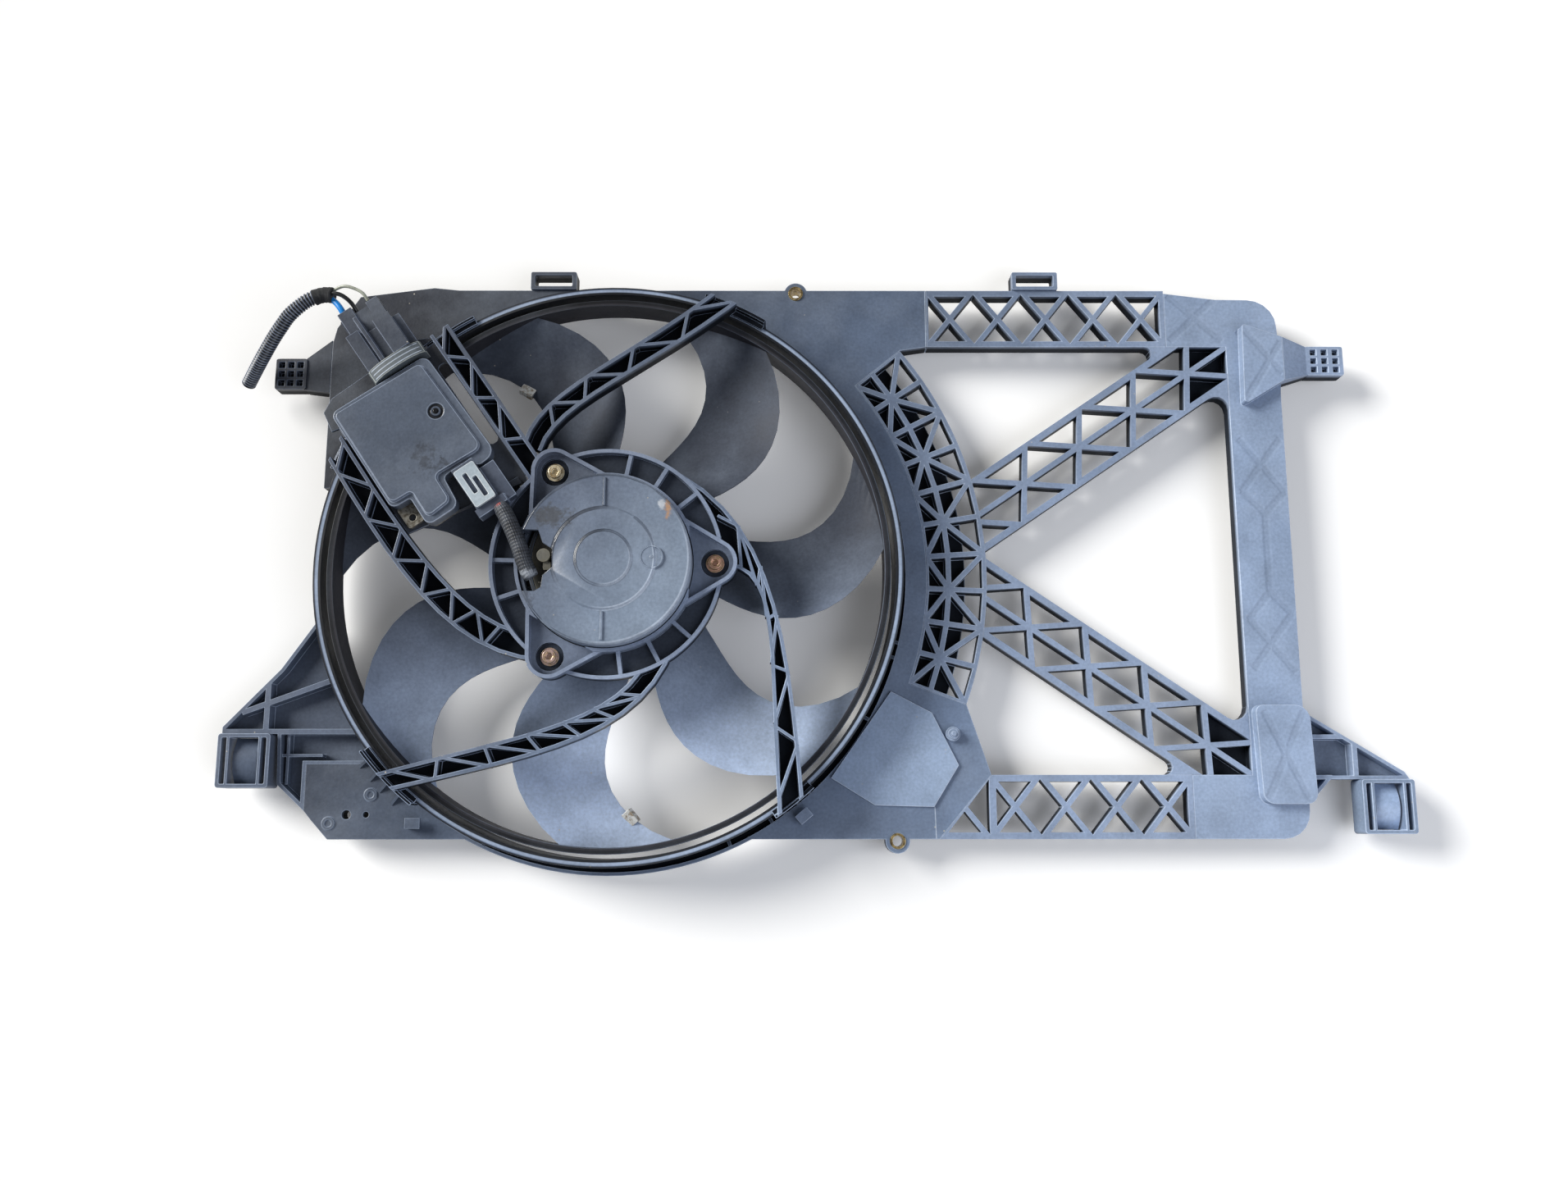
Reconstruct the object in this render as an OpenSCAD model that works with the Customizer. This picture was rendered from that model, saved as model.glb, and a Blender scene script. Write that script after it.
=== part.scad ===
// Radiator cooling fan: a ribbed plastic frame, a fan ring on five channel struts,
// a banded seven-blade wheel on a brushed motor, and a plug-in speed controller.
// The fan axis is Z. X runs along the radiator, Y up it, and Z from the radiator to the engine.
// The seat face against the radiator is z = 0.

/* [Frame] */
// Fan axis to the left edge of the frame plate
frame_left = 200; // [198:1:206]
// Fan axis to the right edge of the side beam
frame_right = 459; // [445:1:480]
// Fan axis to the top edge
frame_top = 203; // [202:0.5:208]
// Fan axis to the bottom edge
frame_bottom = 175.5; // [172:0.5:180]
// Depth of the frame from its seat face
frame_depth = 12; // [10:0.5:15]
// Thickness of the moulded skins
skin_t = 2.4; // [2:0.1:3]
// Thickness of the moulded edge walls
wall_t = 2.4; // [2:0.1:3]
// Width of the side beam
beam_w = 36.5; // [32:0.5:42]
// Height of the raised pads on the side beam
pad_h = 8; // [5:0.5:10]
// Diameter of the screw holes in the two frame ears
ear_bore = 7; // [6:0.1:7.6]

/* [Lattice] */
// Height of the top and bottom trusses
truss_h = 41.6; // [38:0.2:45]
// Width of a lattice rib
rib_w = 3.6; // [2.6:0.1:4.4]
// Width of the chords along a lattice edge
chord_w = 4.4; // [3.6:0.1:5.4]
// Half width of the two diagonal braces
brace_half = 23; // [20:0.5:26]
// Width of the lattice that wraps the fan ring
lattice_w = 40.5; // [36:0.5:45]

/* [Fan ring] */
// Inside radius of the ring that the fan turns in
ring_in = 188; // [187:0.25:189]
// Wall of the ring
ring_wall = 2.6; // [2:0.1:3]
// Height of the ring's lip above the seat face
ring_top = 40; // [38:0.5:44]
// Width of the lip
lip_w = 5; // [4:0.25:5.5]
// Inside radius of the frame's collar round the ring
collar_in = 196.5; // [196:0.25:197]
// Width of the plate's flange outside the collar
flange_w = 12.1; // [10:0.1:14]
// Running gap from the lip up to the struts
strut_gap = 2; // [1.5:0.25:3]
// Height of a channel strut
strut_h = 12; // [9:0.5:14]
// Width of a strut's edge walls
strut_wall = 2.4; // [1.8:0.1:3]

/* [Fan wheel] */
// Outer radius of the rotating band's lip
band_r = 184.7; // [184:0.1:185.5]
// Thickness of the band
band_wall = 2.4; // [2:0.1:3]
// Depth of the band
band_depth = 22; // [18:0.5:24]
// Radius of the hub
hub_r = 63; // [60:0.5:66]
// Number of blades
blade_count = 7; // [5:1:9]
// Thickness of a blade at its middle
blade_t = 2.8; // [2.2:0.1:3.6]

/* [Motor] */
// Radius of the motor's steel can
can_r = 50; // [46:0.5:52]
// Radius of the rear cap
cap_r = 55.5; // [54.5:0.25:56.5]
// Height of the cap's face above the seat face
cap_top = 70; // [67:0.5:76]
// Radius of the shaft
shaft_r = 4; // [3.5:0.1:5]
// Screw circle radius of the motor's three ears
ear_pitch_r = 70; // [69:0.5:72]
// Diameter of the motor screws
motor_screw_d = 5; // [4:0.5:6]

/* [Controller] */
// Length of the controller box, along its plug side
box_w = 70; // [64:1:74]
// Width of the controller box
box_l = 80; // [74:1:84]
// Height of the controller lid
lid_h = 12; // [9:0.5:16]

/* [Cable] */
// Diameter of the corrugated conduit
conduit_d = 9.6; // [8:0.1:10.5]
// Diameter of the motor lead's sleeve
lead_d = 10.6; // [8:0.1:12]

/* [Hidden] */
$fn = 96;
plastic = "#4a5260";
dark = "#2b2f36";
eps = 0.01;
mid_y = (frame_top - frame_bottom) / 2;
beam_in = frame_right - beam_w;
truss_low = frame_top - truss_h;
truss_up = truss_h - frame_bottom;
collar_out = collar_in + wall_t;
flange_r = collar_out + flange_w;
fan_lattice_r = flange_r + lattice_w;
lattice_a0 = -20.4;
lattice_a1 = asin((truss_low - 2.8) / fan_lattice_r);
lattice_cells = 10;
lattice_step = (lattice_a1 - lattice_a0) / lattice_cells;
lattice_mid_r = flange_r + lattice_w * 0.37;
truss_start = fan_lattice_r * cos(lattice_a1) + 18.8;
ring_out = ring_in + ring_wall;
lip_r = ring_in + lip_w;
strut_z = ring_top + strut_gap;
strut_top = strut_z + strut_h;
tab_r = lip_r + 0.6;
tab_wall = 2.2;
carrier_z = strut_z + 4;
carrier_r = 75.5;
carrier_in = cap_r + 0.7;
ear_r = 14.5;
band_top = ring_top - 1.5;
band_z = band_top - band_depth;
band_out = band_r - 1.7;
band_in = band_out - band_wall;
hub_z = 3;
hub_top = band_top - 2;
hub_wall = 2.6;
can_z = 16;
flange_z = carrier_z - 3;
can_top = carrier_z + 10;
cap_z = carrier_z;
box_turn = 35;
box_x = -128.5;
box_y = 86.5;
box_z = strut_z + 2.4;
base_h = 4;
lid_z = box_z + base_h;

// Points and outlines
function unit(v) = v / norm(v);
function left_of(v) = [-v[1], v[0]];
function polar(r, a) = [r * cos(a), r * sin(a)];
function meet(p, u, q, v) = p + u * (cross(q - p, v) / cross(u, v));
function pick(d, i) = is_list(d) ? d[i] : d;

// Moves each side of a counterclockwise outline inwards, by one distance or by one for each side
function inset(pts, d) =
    let(n = len(pts))
    [for (i = [0:n - 1])
        let(
            u = unit(pts[i] - pts[(i + n - 1) % n]),
            v = unit(pts[(i + 1) % n] - pts[i]),
            p = pts[i] + left_of(u) * pick(d, (i + n - 1) % n),
            q = pts[i] + left_of(v) * pick(d, i)
        )
        abs(cross(u, v)) < 0.001 ? q : meet(p, u, q, v)];

// Rounds the corners of an outline; each corner is [x, y, radius]
function rounded(corners, steps = 5) =
    let(n = len(corners))
    [for (i = [0:n - 1])
        let(
            p = [corners[i][0], corners[i][1]],
            a = [corners[(i + n - 1) % n][0], corners[(i + n - 1) % n][1]],
            b = [corners[(i + 1) % n][0], corners[(i + 1) % n][1]],
            r = corners[i][2],
            u = unit(a - p),
            v = unit(b - p),
            half = acos(u * v) / 2,
            c = p + unit(u + v) * r / sin(half),
            s = p + u * r / tan(half),
            turn = (cross(p - a, b - p) > 0 ? 1 : -1) * (180 - 2 * half)
        )
        each r == 0 ? [p] : [for (k = [0:steps]) c + spin(s - c, turn * k / steps)]];
// Moves corners of [x, y, radius] inwards and keeps their rounding
function shrink(corners, d) =
    let(p = inset([for (c = corners) [c[0], c[1]]], d))
    [for (i = [0:len(p) - 1]) [p[i][0], p[i][1], max(corners[i][2] - d, 1)]];
function spin(v, a) = [v[0] * cos(a) - v[1] * sin(a), v[0] * sin(a) + v[1] * cos(a)];
function box_outline(w, h, r) =
    rounded([[-w / 2, -h / 2, r], [w / 2, -h / 2, r], [w / 2, h / 2, r], [-w / 2, h / 2, r]]);

// A cubic curve through its two ends, pulled towards two inner points
function bezier(c, t) =
    c[0] * pow(1 - t, 3) + c[1] * 3 * t * pow(1 - t, 2) + c[2] * 3 * t * t * (1 - t) + c[3] * pow(t, 3);
function curve(c, n) = [for (i = [0:n]) bezier(c, i / n)];
function straight(a, b) = [a, a + (b - a) / 3, a + (b - a) * 2 / 3, b];
function beside(pts, d) =
    let(n = len(pts) - 1)
    [for (i = [0:n]) pts[i] + left_of(unit(pts[min(i + 1, n)] - pts[max(i - 1, 0)])) * d];
function backwards(pts) = [for (i = [len(pts) - 1:-1:0]) pts[i]];
function bar(a, b, w) =
    let(s = left_of(unit(b - a)) * w / 2)
    [a - s, b - s, b + s, a + s];

module prism(pts, z0, z1) {
    translate([0, 0, z0])
        linear_extrude(z1 - z0)
            polygon(pts);
}
module disc(r, z0, z1) {
    translate([0, 0, z0])
        cylinder(r = r, h = z1 - z0);
}
module tube(r_in, r_out, z0, z1) {
    difference() {
        disc(r_out, z0, z1);
        disc(r_in, z0 - 1, z1 + 1);
    }
}
module sector(r_in, r_out, z0, z1, a0, a1) {
    translate([0, 0, z0])
        rotate([0, 0, a0])
            rotate_extrude(angle = a1 - a0)
                translate([r_in, 0])
                    square([r_out - r_in, z1 - z0]);
}
// A tray with a skin on one side and walls round it; up says which side the skin is on
module tray(pts, z0, z1, skin, wall, up = true) {
    difference() {
        prism(pts, z0, z1);
        prism(inset(pts, wall), up ? z0 - 1 : z0 + skin, up ? z1 - skin : z1 + 1);
    }
}

// Frame plate: four corner skins round the fan ring's collar
left_edge = -frame_left + 0.5;
plate_outline = [
    [-183, -frame_bottom], [truss_start + 2, -frame_bottom], [fan_lattice_r - 0.5, truss_up],
    polar(fan_lattice_r, lattice_a0), polar(collar_out + 6, lattice_a0), polar(collar_out + 6, lattice_a1),
    polar(fan_lattice_r, lattice_a1), [truss_start, truss_low], [truss_start, frame_top],
    [-113, frame_top], [-130.5, frame_top + 1.8], [-182, frame_top - 5], [-197, frame_top - 28],
    [left_edge, 164], [left_edge, 60], [-150, 60], [-150, -127], [left_edge, -127],
    [left_edge, -157], [-194, -frame_bottom + 12]
];
top_ear = [122.8, frame_top - 2.5];
low_ear = [188.7, -frame_bottom - 1.2];
ear_out = 8;
gusset_angles = [218.1, 221.2, 223.9, 227.1];
plate_holes = [[-171.3, -159.6, 2.9], [-158.5, -159.6, 1.9]];
plate_bosses = [[-182.7, -165.2], [-156, -146.7]];
module lattice_wedge(r, z0, z1) {
    prism([[0, 0], polar(r, lattice_a0), polar(r, (lattice_a0 + lattice_a1) / 2), polar(r, lattice_a1)], z0, z1);
}
module frame_plate() {
    color(plastic)
    difference() {
        union() {
            prism(plate_outline, 0, frame_depth);
            intersection() {
                disc(flange_r, 0, frame_depth);
                lattice_wedge(300, 0, frame_depth);
            }
            disc(collar_out, 0, frame_depth);
            for (p = [top_ear, low_ear]) translate(p) disc(ear_out, 0, frame_depth);
            for (p = plate_bosses) translate(p) tube(2.2, 4.3, frame_depth - eps, frame_depth + 0.8);
            for (a = gusset_angles)
                rotate([90, 0, a])
                    translate([0, 0, -0.9])
                        linear_extrude(1.8)
                            polygon([
                                [collar_in + 0.6, frame_depth - 1], [collar_in + 12.5, frame_depth - 1],
                                [collar_in + 12.5, frame_depth + 0.4], [collar_in + 0.6, frame_depth + 6]
                            ]);
        }
        disc(collar_in, -1, frame_depth + 1);
        difference() {
            prism(inset(plate_outline, wall_t), -1, frame_depth - skin_t);
            disc(flange_r, -2, frame_depth + 1);
            for (p = [top_ear, low_ear]) translate(p) disc(ear_out, -2, frame_depth);
            for (p = plate_holes) translate([p[0], p[1]]) disc(p[2] + wall_t, -2, frame_depth);
        }
        intersection() {
            tube(collar_out, flange_r - wall_t, -1, frame_depth - skin_t);
            union() {
                prism(inset(plate_outline, wall_t), -1, frame_depth);
                lattice_wedge(300, -1, frame_depth);
            }
        }
        for (p = [top_ear, low_ear]) translate(p) disc(ear_bore / 2 + 1.6, -1, frame_depth + 1);
        for (p = plate_holes) translate([p[0], p[1]]) disc(p[2], -1, frame_depth + 1);
    }
}
// Steel sleeves that carry the screws of the two frame ears
module ear_sleeves() {
    color("#b49a66")
    for (p = [top_ear, low_ear]) translate(p) tube(ear_bore / 2, ear_bore / 2 + 1.6, 0, frame_depth + 1);
}

// Lattice that wraps the right side of the fan ring: radial ribs and diagonals in two rows
function lattice_angle(j) = lattice_a0 + lattice_step * j;
module lattice_row(r0, r1, near, h) {
    for (j = [0:lattice_cells - 1]) {
        a = lattice_angle(j);
        b = lattice_angle(j + 1);
        // the diagonal runs to the even angle on the near side and to the odd angle on the far side
        even = j % 2 == (near ? 0 : 1);
        quad = [polar(r0, a), polar(r1, a), polar(r1, b), polar(r0, b)];
        tris = even
            ? [[quad[0], quad[1], quad[2]], [quad[0], quad[2], quad[3]]]
            : [[quad[0], quad[1], quad[3]], [quad[1], quad[2], quad[3]]];
        for (t = tris) prism(inset(t, rib_w / 2), h, frame_depth + 1);
    }
}
module fan_lattice() {
    floor_r = lattice_mid_r + 12;
    color(plastic)
    difference() {
        sector(flange_r, fan_lattice_r, 0, frame_depth, lattice_a0, lattice_a1);
        lattice_row(flange_r, lattice_mid_r, true, skin_t);
        intersection() {
            lattice_row(lattice_mid_r, fan_lattice_r - 1, false, -1);
            union() {
                disc(400, skin_t, frame_depth + 2);
                tube(floor_r, 400, -2, frame_depth + 2);
            }
        }
    }
}

// Top and bottom trusses: crossing ribs between two chords
module truss(x0, x1, y0, y1, n, phase) {
    pitch = (x1 - x0) / n;
    ym = (y0 + y1) / 2;
    difference() {
        prism([[x0, y0], [x1, y0], [x1, y1], [x0, y1]], 0, frame_depth);
        for (k = [0:n - 1]) {
            c = [x0 + pitch * (k + phase), ym];
            lo = max(c[0] - pitch / 2, x0);
            hi = min(c[0] + pitch / 2, x1);
            prism(inset([c, [c[0] + pitch / 2, y1], [c[0] - pitch / 2, y1]], [rib_w / 2, chord_w, rib_w / 2]), -1, frame_depth + 1);
            prism(inset([[c[0] - pitch / 2, y0], [c[0] + pitch / 2, y0], c], [chord_w, rib_w / 2, rib_w / 2]), -1, frame_depth + 1);
        }
        for (k = [0:n - 2]) {
            c = [x0 + pitch * (k + phase), ym];
            d = c + [pitch, 0];
            m = c[0] + pitch / 2;
            prism(inset([c, [m, y0], d, [m, y1]], rib_w / 2), -1, frame_depth + 1);
        }
        // half cells at the two ends
        a = [x0 + pitch * phase, ym];
        b = [x0 + pitch * (n - 1 + phase), ym];
        prism(inset([[x0, y0], a, [x0, y1]], [rib_w / 2, rib_w / 2, rib_w / 2]), -1, frame_depth + 1);
        prism(inset([b, [x1, y0], [x1, y1]], [rib_w / 2, rib_w, rib_w / 2]), -1, frame_depth + 1);
    }
}
panel_x = frame_right - 78;
module top_truss() {
    color(plastic)
    truss(truss_start, panel_x, truss_low, frame_top, 5, 0.5);
}
bottom_bar_x = fan_lattice_r - 0.1;
module bottom_truss() {
    start = [[truss_start + 2, -frame_bottom], [fan_lattice_r - 0.5, truss_up]];
    color(plastic)
    intersection() {
        union() {
            truss(truss_start + 2, panel_x + 2, -frame_bottom, truss_up, 5, 0.5);
            prism(bar([bottom_bar_x, -frame_bottom], [bottom_bar_x, truss_up], rib_w + 1), 0, frame_depth);
        }
        prism([start[0], [panel_x + 2, -frame_bottom], [panel_x + 2, truss_up], start[1]], -1, frame_depth + 1);
    }
}

// Diagonal braces from the fan lattice to the two inner corners of the side beam
brace_root = [fan_lattice_r - 8.5, 24.9];
brace_cells = 4.67;
brace_floor_w = 27;
module brace(tip_y, clip_y) {
    root = [brace_root[0], mid_y + brace_root[1] * sign(tip_y - mid_y)];
    tip = [beam_in, tip_y];
    u = unit(tip - root);
    n = left_of(u) * brace_half;
    m = left_of(u) * sign(tip_y - mid_y);
    pitch = norm(tip - root) / brace_cells;
    side = m * brace_half;
    far = root + u * pitch * 7;
    start = root - u * pitch;
    low_y = min(tip_y, clip_y);
    difference() {
        prism([start - n, far - n, far + n, start + n], 0, frame_depth);
        for (k = [-1:6]) {
            p = root + u * pitch * (k - 0.06);
            q = p + u * pitch;
            up = p + u * pitch * 0.37 + side;
            up2 = up + u * pitch;
            dn = p + u * pitch * 0.63 - side;
            dn2 = dn + u * pitch;
            brace_window([p, q, up], [rib_w / 2, rib_w / 2, rib_w / 2]);
            brace_window([up, q, up2], [rib_w / 2, rib_w / 2, chord_w]);
            brace_window([p, dn, q], [rib_w / 2, rib_w / 2, rib_w / 2]);
            brace_window([q, dn, dn2], [rib_w / 2, chord_w, rib_w / 2]);
        }
        disc(fan_lattice_r, -1, frame_depth + 1);
        translate([beam_in, -500, -1]) cube([500, 1000, frame_depth + 2]);
        if (tip_y > mid_y) translate([0, truss_low, -1]) cube([1000, 500, frame_depth + 2]);
        if (tip_y < mid_y) translate([0, truss_up - 500, -1]) cube([1000, 500, frame_depth + 2]);
    }
    intersection() {
        prism([start - n * 0.94, far - n * 0.94, far + n * 0.94, start + n * 0.94], 0.4, skin_t);
        translate([beam_in - brace_floor_w, min(mid_y, tip_y), -1]) cube([brace_floor_w, abs(tip_y - mid_y), 20]);
    }
    down = [0, -sign(tip_y - mid_y)];
    corner_fill(meet(root + side, u, tip, [1, 0]), -u, [-1, 0], 5);
    corner_fill(meet(root - side, u, tip, [0, 1]), -u, down, 9);
}
// Fills a corner between a brace and its neighbour up to a round edge
// The brace runs away along u, and the neighbour's face along v
module corner_fill(p, u, v, r) {
    reach = r / tan(acos(u * v) / 2);
    arc = rounded([[p[0] + u[0] * reach * 2, p[1] + u[1] * reach * 2, 0], [p[0], p[1], r],
        [p[0] + v[0] * reach * 2, p[1] + v[1] * reach * 2, 0]]);
    edge = [for (i = [1:len(arc) - 2]) arc[i]];
    prism(concat([p - v * 3, edge[0] - v * 3], edge), 0, frame_depth);
}
// A triangle's window; one that runs clockwise is turned over first, with its widths
module brace_window(t, d) {
    flip = cross(t[1] - t[0], t[2] - t[1]) < 0;
    pts = flip ? [t[0], t[2], t[1]] : t;
    w = flip ? [d[2], d[1], d[0]] : d;
    prism(inset(pts, w), -1, frame_depth + 1);
}
module upper_brace() {
    color(plastic) brace(truss_low, truss_low);
}
module lower_brace() {
    color(plastic) brace(truss_up, truss_up);
}

// Side beam with its two corner panels and raised pads
beam_outline = rounded([
    [panel_x + 2, -frame_bottom, 0], [frame_right, -frame_bottom, 18], [frame_right, frame_top - 7, 20],
    [frame_right - 42, frame_top - 6.5, 0], [panel_x, frame_top - 2, 0], [panel_x, truss_low, 0],
    [beam_in, truss_low, 0], [beam_in, truss_up, 0], [panel_x + 2, truss_up, 0]
]);
low_pad = [
    [beam_in + 4, -153, 7], [frame_right + 3, -153, 7], [frame_right + 1, -88.5, 10], [beam_in + 2, -88.5, 5]
];
high_pad = [
    [frame_right - 28.5, 117.5, 2], [frame_right, 134.8, 0.5], [frame_right, 166.3, 0.5], [frame_right - 27, 176, 2]
];
module side_beam() {
    color(plastic) {
        difference() {
            union() {
                prism(beam_outline, 0, frame_depth);
                prism(rounded(low_pad), frame_depth - skin_t, frame_depth + pad_h);
                prism(rounded(high_pad), frame_depth - skin_t, frame_depth + pad_h);
            }
            difference() {
                prism(inset(beam_outline, wall_t), -1, frame_depth - skin_t);
                for (y = [truss_up - 12:50:truss_low]) {
                    prism(bar([beam_in, y], [frame_right, y + 50], 1.8), -2, frame_depth);
                    prism(bar([beam_in, y + 50], [frame_right, y], 1.8), -2, frame_depth);
                }
            }
            prism(rounded(shrink(low_pad, wall_t + 4)), -1, frame_depth + pad_h - skin_t);
            prism(rounded(shrink(high_pad, wall_t + 4)), -1, frame_depth + pad_h - skin_t);
            translate([frame_right, -500, -1]) cube([100, 1000, frame_depth + 1]);
        }
    }
}

// Left bracket: an open ribbed tray that carries the left foot
foot_w = 34.5;
foot_l = 35.3;
foot_h = 18;
left_foot_at = [-239, -124.7];
right_foot_at = [509, -154.6];
bracket_top = left_foot_at[1] + foot_l / 2;
bracket_outline = [
    [-190, -20], [-220, -64], [-228, -72.5], [-256.2, bracket_top + 4.6], [-256.2, bracket_top],
    [-219.5, bracket_top], [-218, -140], [left_edge, -157], [left_edge, -127], [-150, -127], [-150, -60]
];
module left_bracket() {
    color(dark)
    difference() {
        union() {
            tray(bracket_outline, 0, frame_depth, skin_t, wall_t, false);
            intersection() {
                prism(bracket_outline, 0, frame_depth);
                union() {
                    prism(bar([-227.6, -60], [-227.6, bracket_top], rib_w), 0, frame_depth);
                    prism(bar([-244, -93], [-180, -69.5], rib_w), 0, frame_depth);
                    prism(bar([-256, bracket_top + 1.5], [-160, bracket_top + 1.5], rib_w), 0, frame_depth);
                    prism(bar([-213, bracket_top], [-213, -140], 1.8), 0, frame_depth - 3);
                    prism(bar([-219, -121], [-190, -121], 1.8), 0, frame_depth - 3);
                }
            }
        }
        disc(collar_out + 0.1, -1, frame_depth + 1);
    }
}
// Right bracket: the arm from the side beam to the right foot
arm_x = frame_right + 33;
right_outline = [
    [frame_right, -153], [frame_right + 15, -136.9], [arm_x, -136.9], [frame_right + 67.2, -136.9],
    [frame_right + 64, -132], [frame_right + 4, -95], [frame_right, -95]
];
module right_bracket() {
    color(plastic)
    union() {
        tray(right_outline, 0, frame_depth, skin_t, wall_t, false);
        intersection() {
            prism(right_outline, 0, frame_depth);
            union() {
                prism(bar([arm_x - 1, -140], [arm_x - 1, -110], rib_w), 0, frame_depth);
                prism(bar([frame_right, -109], [frame_right + 30, -109], 3), 0, frame_depth);
                prism(bar([frame_right, -135.5], [frame_right + 16, -135.5], 3), 0, frame_depth);
            }
        }
    }
}

// Locating pegs: a neck and a block with three by three pockets
peg_t = 12;
module peg_block(w, h) {
    pocket = 4.2;
    difference() {
        prism(box_outline(w, h, 1.5), 1, 1 + peg_t);
        for (i = [-1:1], j = [-1:1])
            translate([i * w / 3.4 - pocket / 2, j * h / 3.4 - pocket / 2, peg_t - 4])
                cube([pocket, pocket, 10]);
    }
}
module left_peg() {
    color(dark)
    union() {
        translate([-226.8, 141.2, 0]) peg_block(21.6, 22);
        prism([[left_edge, 128], [left_edge, 166], [-217, 152.2], [-217, 130.2]], 0, frame_depth);
    }
}
module right_peg() {
    arm_end = frame_right + 19.5;
    color(plastic)
    union() {
        translate([frame_right + 31.5, 151.1, 0]) peg_block(26, 21);
        intersection() {
            prism([[frame_right, 134.8], [arm_end, 141], [arm_end, 161.2], [frame_right, 166.3]], 0, frame_depth + 20);
            translate([0, 200, 0])
                rotate([90, 0, 0])
                    linear_extrude(100)
                        polygon([
                            [frame_right, 0], [arm_end, 0], [arm_end, frame_depth + 0.6],
                            [frame_right, frame_depth + pad_h]
                        ]);
        }
    }
}

// Feet: open blocks with two ribs each side of a window
module foot_block() {
    difference() {
        prism(box_outline(foot_w, foot_l, 2), 0, foot_h);
        prism(box_outline(foot_w - 5.2, foot_l - 5.2, 1), -1, foot_h + 1);
    }
    for (s = [-1, 1]) prism(bar([s * 10.4, -foot_l / 2 + 1], [s * 10.4, foot_l / 2 - 1], 2), 0, foot_h);
}
module left_foot() {
    color(dark) translate(left_foot_at) foot_block();
}
module right_foot() {
    color(dark) translate(right_foot_at) foot_block();
}
// Sprung tongues in the feet, bowed towards the top
tongue_w = 16;
module tongue() {
    n = 12;
    l = foot_l - 5.2;
    top = [for (i = [0:n]) [l * (i / n - 0.5), foot_h - 3 - 6 * pow(2 * i / n - 1, 2)]];
    translate([tongue_w / 2, 0, 0])
        rotate([90, 0, -90])
            linear_extrude(tongue_w)
                polygon(concat(top, backwards(beside(top, -2.2))));
}
module foot_springs() {
    color("#6a7380")
    for (p = [left_foot_at, right_foot_at]) translate(p) tongue();
}

// Clips on the top edge
clip_w = 32;
clip_h = 13;
module top_clips() {
    color(dark)
    for (x = [-46.8, 290.5])
        translate([x, frame_top + clip_h / 2, 0])
            difference() {
                prism(box_outline(clip_w, clip_h, 1.2), 0, frame_depth + 2);
                prism(box_outline(clip_w - 6, clip_h - 5, 0.8), -1, frame_depth + 3);
            }
}

// Cover patch on the lower corner skin
patch_outline = [[185.4, -79], [145.2, -136], [174, -153.8], [212.7, -154.8], [229.5, -127.7], [212.4, -93.2]];
module cover_patch() {
    color("#56606f")
    difference() {
        prism(patch_outline, frame_depth, frame_depth + 2);
        disc(collar_out - 1.9, frame_depth - 1, frame_depth + 4);
    }
}
// Cable hooks on the plate
module cable_hooks() {
    color(plastic)
    for (h = [[-127.2, -165.2, 0], [126.8, -161.1, 40]])
        translate([h[0], h[1], frame_depth])
            rotate([0, 0, h[2]])
                union() {
                    translate([-4, -3.5, 0]) cube([2.2, 7, 7]);
                    translate([-4, -3.5, 5]) cube([10, 7, 2]);
                    translate([4, -1.5, 3.5]) cube([2, 3, 3.5]);
                }
    color(plastic)
    translate([225.8, -107.4, 0])
        union() {
            disc(4.8, frame_depth, frame_depth + 4);
            disc(3.4, frame_depth + 3, frame_depth + 6);
            disc(1.5, frame_depth + 5, frame_depth + 9);
        }
}

// Fan ring: the wall that the wheel turns in, its lip, and the lugs that join it to the collar
ring_z = 4;
lug_angles = [61, 65, 69, 100, 142, 190, 218.1, 221.2, 223.9, 227.1, 246, 294, 303, 306, 309, 312, 330, 343, 346, 10, 30];
module fan_ring() {
    color("#3a4150")
    union() {
        rotate_extrude()
            polygon([
                [ring_in, ring_z], [collar_in, ring_z], [collar_in, ring_z + skin_t],
                [ring_out, ring_z + skin_t], [ring_out, ring_top - 4], [lip_r, ring_top - 1.5],
                [lip_r, ring_top], [ring_in, ring_top]
            ]);
        for (a = lug_angles)
            rotate([0, 0, a])
                translate([ring_out - 0.5, -1, ring_z + 1])
                    cube([collar_in - ring_out + 0.3, 2, frame_depth + 6 - ring_z]);
    }
}

// Channel struts: floor, two edge walls and zigzag ribs between two curved edges
// Each edge is a curve's four points, from the carrier to the ring
upper_left_edges = [straight([-43, 67], [-114, 169]), straight([-48, 50], [-124, 158])];
upper_right_edges = [
    [[-44, 74], [-36, 108], [26, 128], [94, 185]], [[-56, 80], [-47, 118], [12, 137], [78, 193]]
];
right_edges = [
    [[78, -2], [112, -6], [104, -60], [111, -164]], [[31, 67], [104, 36], [117, -30], [127, -154]]
];
lower_edges = [
    [[22, -70], [0, -104], [-60, -112], [-144, -135]], [[46, -52], [25, -112], [-30, -122], [-136, -146]]
];
left_edges = [
    [[-46, -46], [-88, -40], [-122, 4], [-180, 92]], [[-38, -64], [-100, -62], [-140, 0], [-194, 86]]
];
function channel_outline(e, n) = concat(curve(e[0], n), backwards(curve(e[1], n)));
module channel_plan(e, z0, z1) {
    prism(channel_outline(e, 12), z0, z1);
}
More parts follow.
